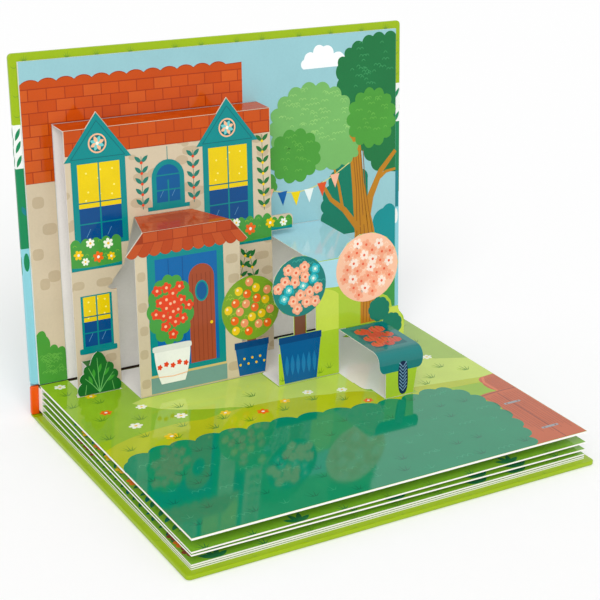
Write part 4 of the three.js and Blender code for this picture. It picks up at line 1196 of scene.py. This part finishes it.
for k in range(8):
    rise = 2.1 * k
    wheel.append((stroke([(55.6, 5.8 + rise), (58.1, 2.9 + rise), (60.6, 5.8 + rise)], 0.62), TREAD, 2))
print_on("barrow_wheel_print", standing_plane(BARROW_FOOT), wheel, card_ink, "page_block")

# Leaf shrub: a small cut-out folded forward from the house front, with a tab that holds
# it; printed as layers of dark green leaves with pale stems.
SHRUB = srgb(16, 100, 34)
SHRUB_LIGHT = srgb(56, 148, 48)
SHRUB_STEM = srgb(112, 186, 104)
SHRUB_X = -98.5
SHRUB_FOOT = HOUSE_FOOT - 9.3
CARD_THICK = 0.4
shrub_plane = standing_plane(SHRUB_FOOT)
shrub_card = sheet_card("shrub_card", SHRUB, SHRUB, 0.10, 0.22, wash=0.08)
bush_corners = [(-12.4, 0.3), (12.4, 0.3), (11.0, 7.6), (9.2, 13.4), (5.4, 18.0), (-5.4, 18.0), (-9.2, 13.4),
                (-11.0, 7.6)]
bush_edge = lobed(bush_corners, [0, 1.9, 1.9, 1.9, 7.4, 1.9, 1.9, 1.9], count=9) + (SHRUB_X, 0)
cut_cards = (("leaf_shrub", shrub_plane, bush_edge),
             ("leaf_shrub_tab", strip_plane(SHRUB_FOOT, 17), box(-105, -92, 0.4, 9.0)))
for name, where, outline in cut_cards:
    x, u = outline[:, 0], outline[:, 1]
    points = on_plane(where, np.stack([x, x]), np.stack([u, u]), np.array([[-CARD_THICK], [0.0]]))
    card = link_mesh(name, points, [face[::-1] for face in rings_to_faces(2, len(x))], shrub_card)
    place_piece(card, "page_block", "leaf_shrub_popup")
shrub_art = []
for turn, length in ((50, 14), (72, 18), (92, 21), (112, 17), (132, 13)):
    across, rise = length * math.cos(math.radians(turn)), length * math.sin(math.radians(turn))
    middle = (SHRUB_X + 0.5 * across, 0.8 + 0.55 * rise)
    shrub_art += [(stroke([(SHRUB_X, 0.8), middle, (SHRUB_X + across, 0.8 + rise)], 0.5, 0.25),
                   SHRUB_STEM, 1),
                  (leaf(*middle, 6.0, 2.0, turn - 22, 8), SHRUB_LIGHT, 0)]
for x, lean in ((-107.5, 1.0), (-89.5, -1.0)):
    shrub_art.append((stroke([(x, 0.8), (x + lean, 6.5)], 0.4, 0.25), SHRUB_STEM, 1))
print_on("leaf_shrub_print", shrub_plane, shrub_art, card_ink, "page_block")

# Studio: a plain pale floor under a white surround, one broad soft lamp from the upper
# left front, and the camera at the photograph's place.
floor_paint, _, floor_shader, _ = fresh_material("studio_floor_paint", 0.0)
floor_shader.inputs["Base Color"].default_value = (0.98, 0.98, 0.98, 1.0)
floor_shader.inputs["Roughness"].default_value = 1.0
floor_corners = [(-6, -6, -0.0002), (6, -6, -0.0002), (6, 6, -0.0002), (-6, 6, -0.0002)]
studio_floor = link_mesh("studio_floor", floor_corners, [(0, 1, 2, 3)], floor_paint)

WHITE = (1, 1, 1, 1)
world = bpy.data.worlds.new("white_surround")
bpy.context.scene.world = world
world.use_nodes = True
sky_tree = world.node_tree
sky_tree.nodes.clear()
surround_light = wire(sky_tree, "ShaderNodeBackground", {"Color": WHITE, "Strength": 0.62})
surround_seen = wire(sky_tree, "ShaderNodeBackground", {"Color": WHITE, "Strength": 1.0})
rays = sky_tree.nodes.new("ShaderNodeLightPath").outputs
seen = calc(sky_tree, "MAXIMUM", rays["Is Camera Ray"], rays["Is Glossy Ray"])
seen = calc(sky_tree, "MAXIMUM", seen, rays["Is Transmission Ray"])
surround = wire(sky_tree, "ShaderNodeMixShader", {0: seen, 1: surround_light, 2: surround_seen})
sky_tree.links.new(surround, sky_tree.nodes.new("ShaderNodeOutputWorld").inputs["Surface"])

lamp_data = bpy.data.lights.new("soft_lamp", "SUN")
lamp_data.energy = 1.85
lamp_data.angle = math.radians(50)
soft_lamp = bpy.data.objects.new("soft_lamp", lamp_data)
soft_lamp.rotation_euler = (math.radians(48), 0, math.radians(-28))
bpy.context.collection.objects.link(soft_lamp)

AZIMUTH, ELEVATION, ROLL = -0.563303601, 0.385608769, 0.0441487922
behind = np.array([math.sin(AZIMUTH) * math.cos(ELEVATION), -math.cos(AZIMUTH) * math.cos(ELEVATION),
                   math.sin(ELEVATION)])
level_right = np.cross(-behind, [0.0, 0.0, 1.0])
level_right /= np.linalg.norm(level_right)
level_up = np.cross(level_right, -behind)
camera_right = math.cos(ROLL) * level_right + math.sin(ROLL) * level_up
camera_up = -math.sin(ROLL) * level_right + math.cos(ROLL) * level_up
camera_data = bpy.data.cameras.new("photo_camera")
camera_data.lens = 89.496
camera_data.sensor_width = 36.0
camera_data.clip_start = 0.01
camera_data.clip_end = 50.0
camera = bpy.data.objects.new("photo_camera", camera_data)
bpy.context.collection.objects.link(camera)
turned = Matrix(np.stack([camera_right, camera_up, behind], -1).tolist()).to_4x4()
camera.matrix_world = Matrix.Translation((-0.417289, -0.655636, 0.398606)) @ turned
bpy.context.scene.camera = camera
bpy.context.scene.view_settings.view_transform = "Standard"
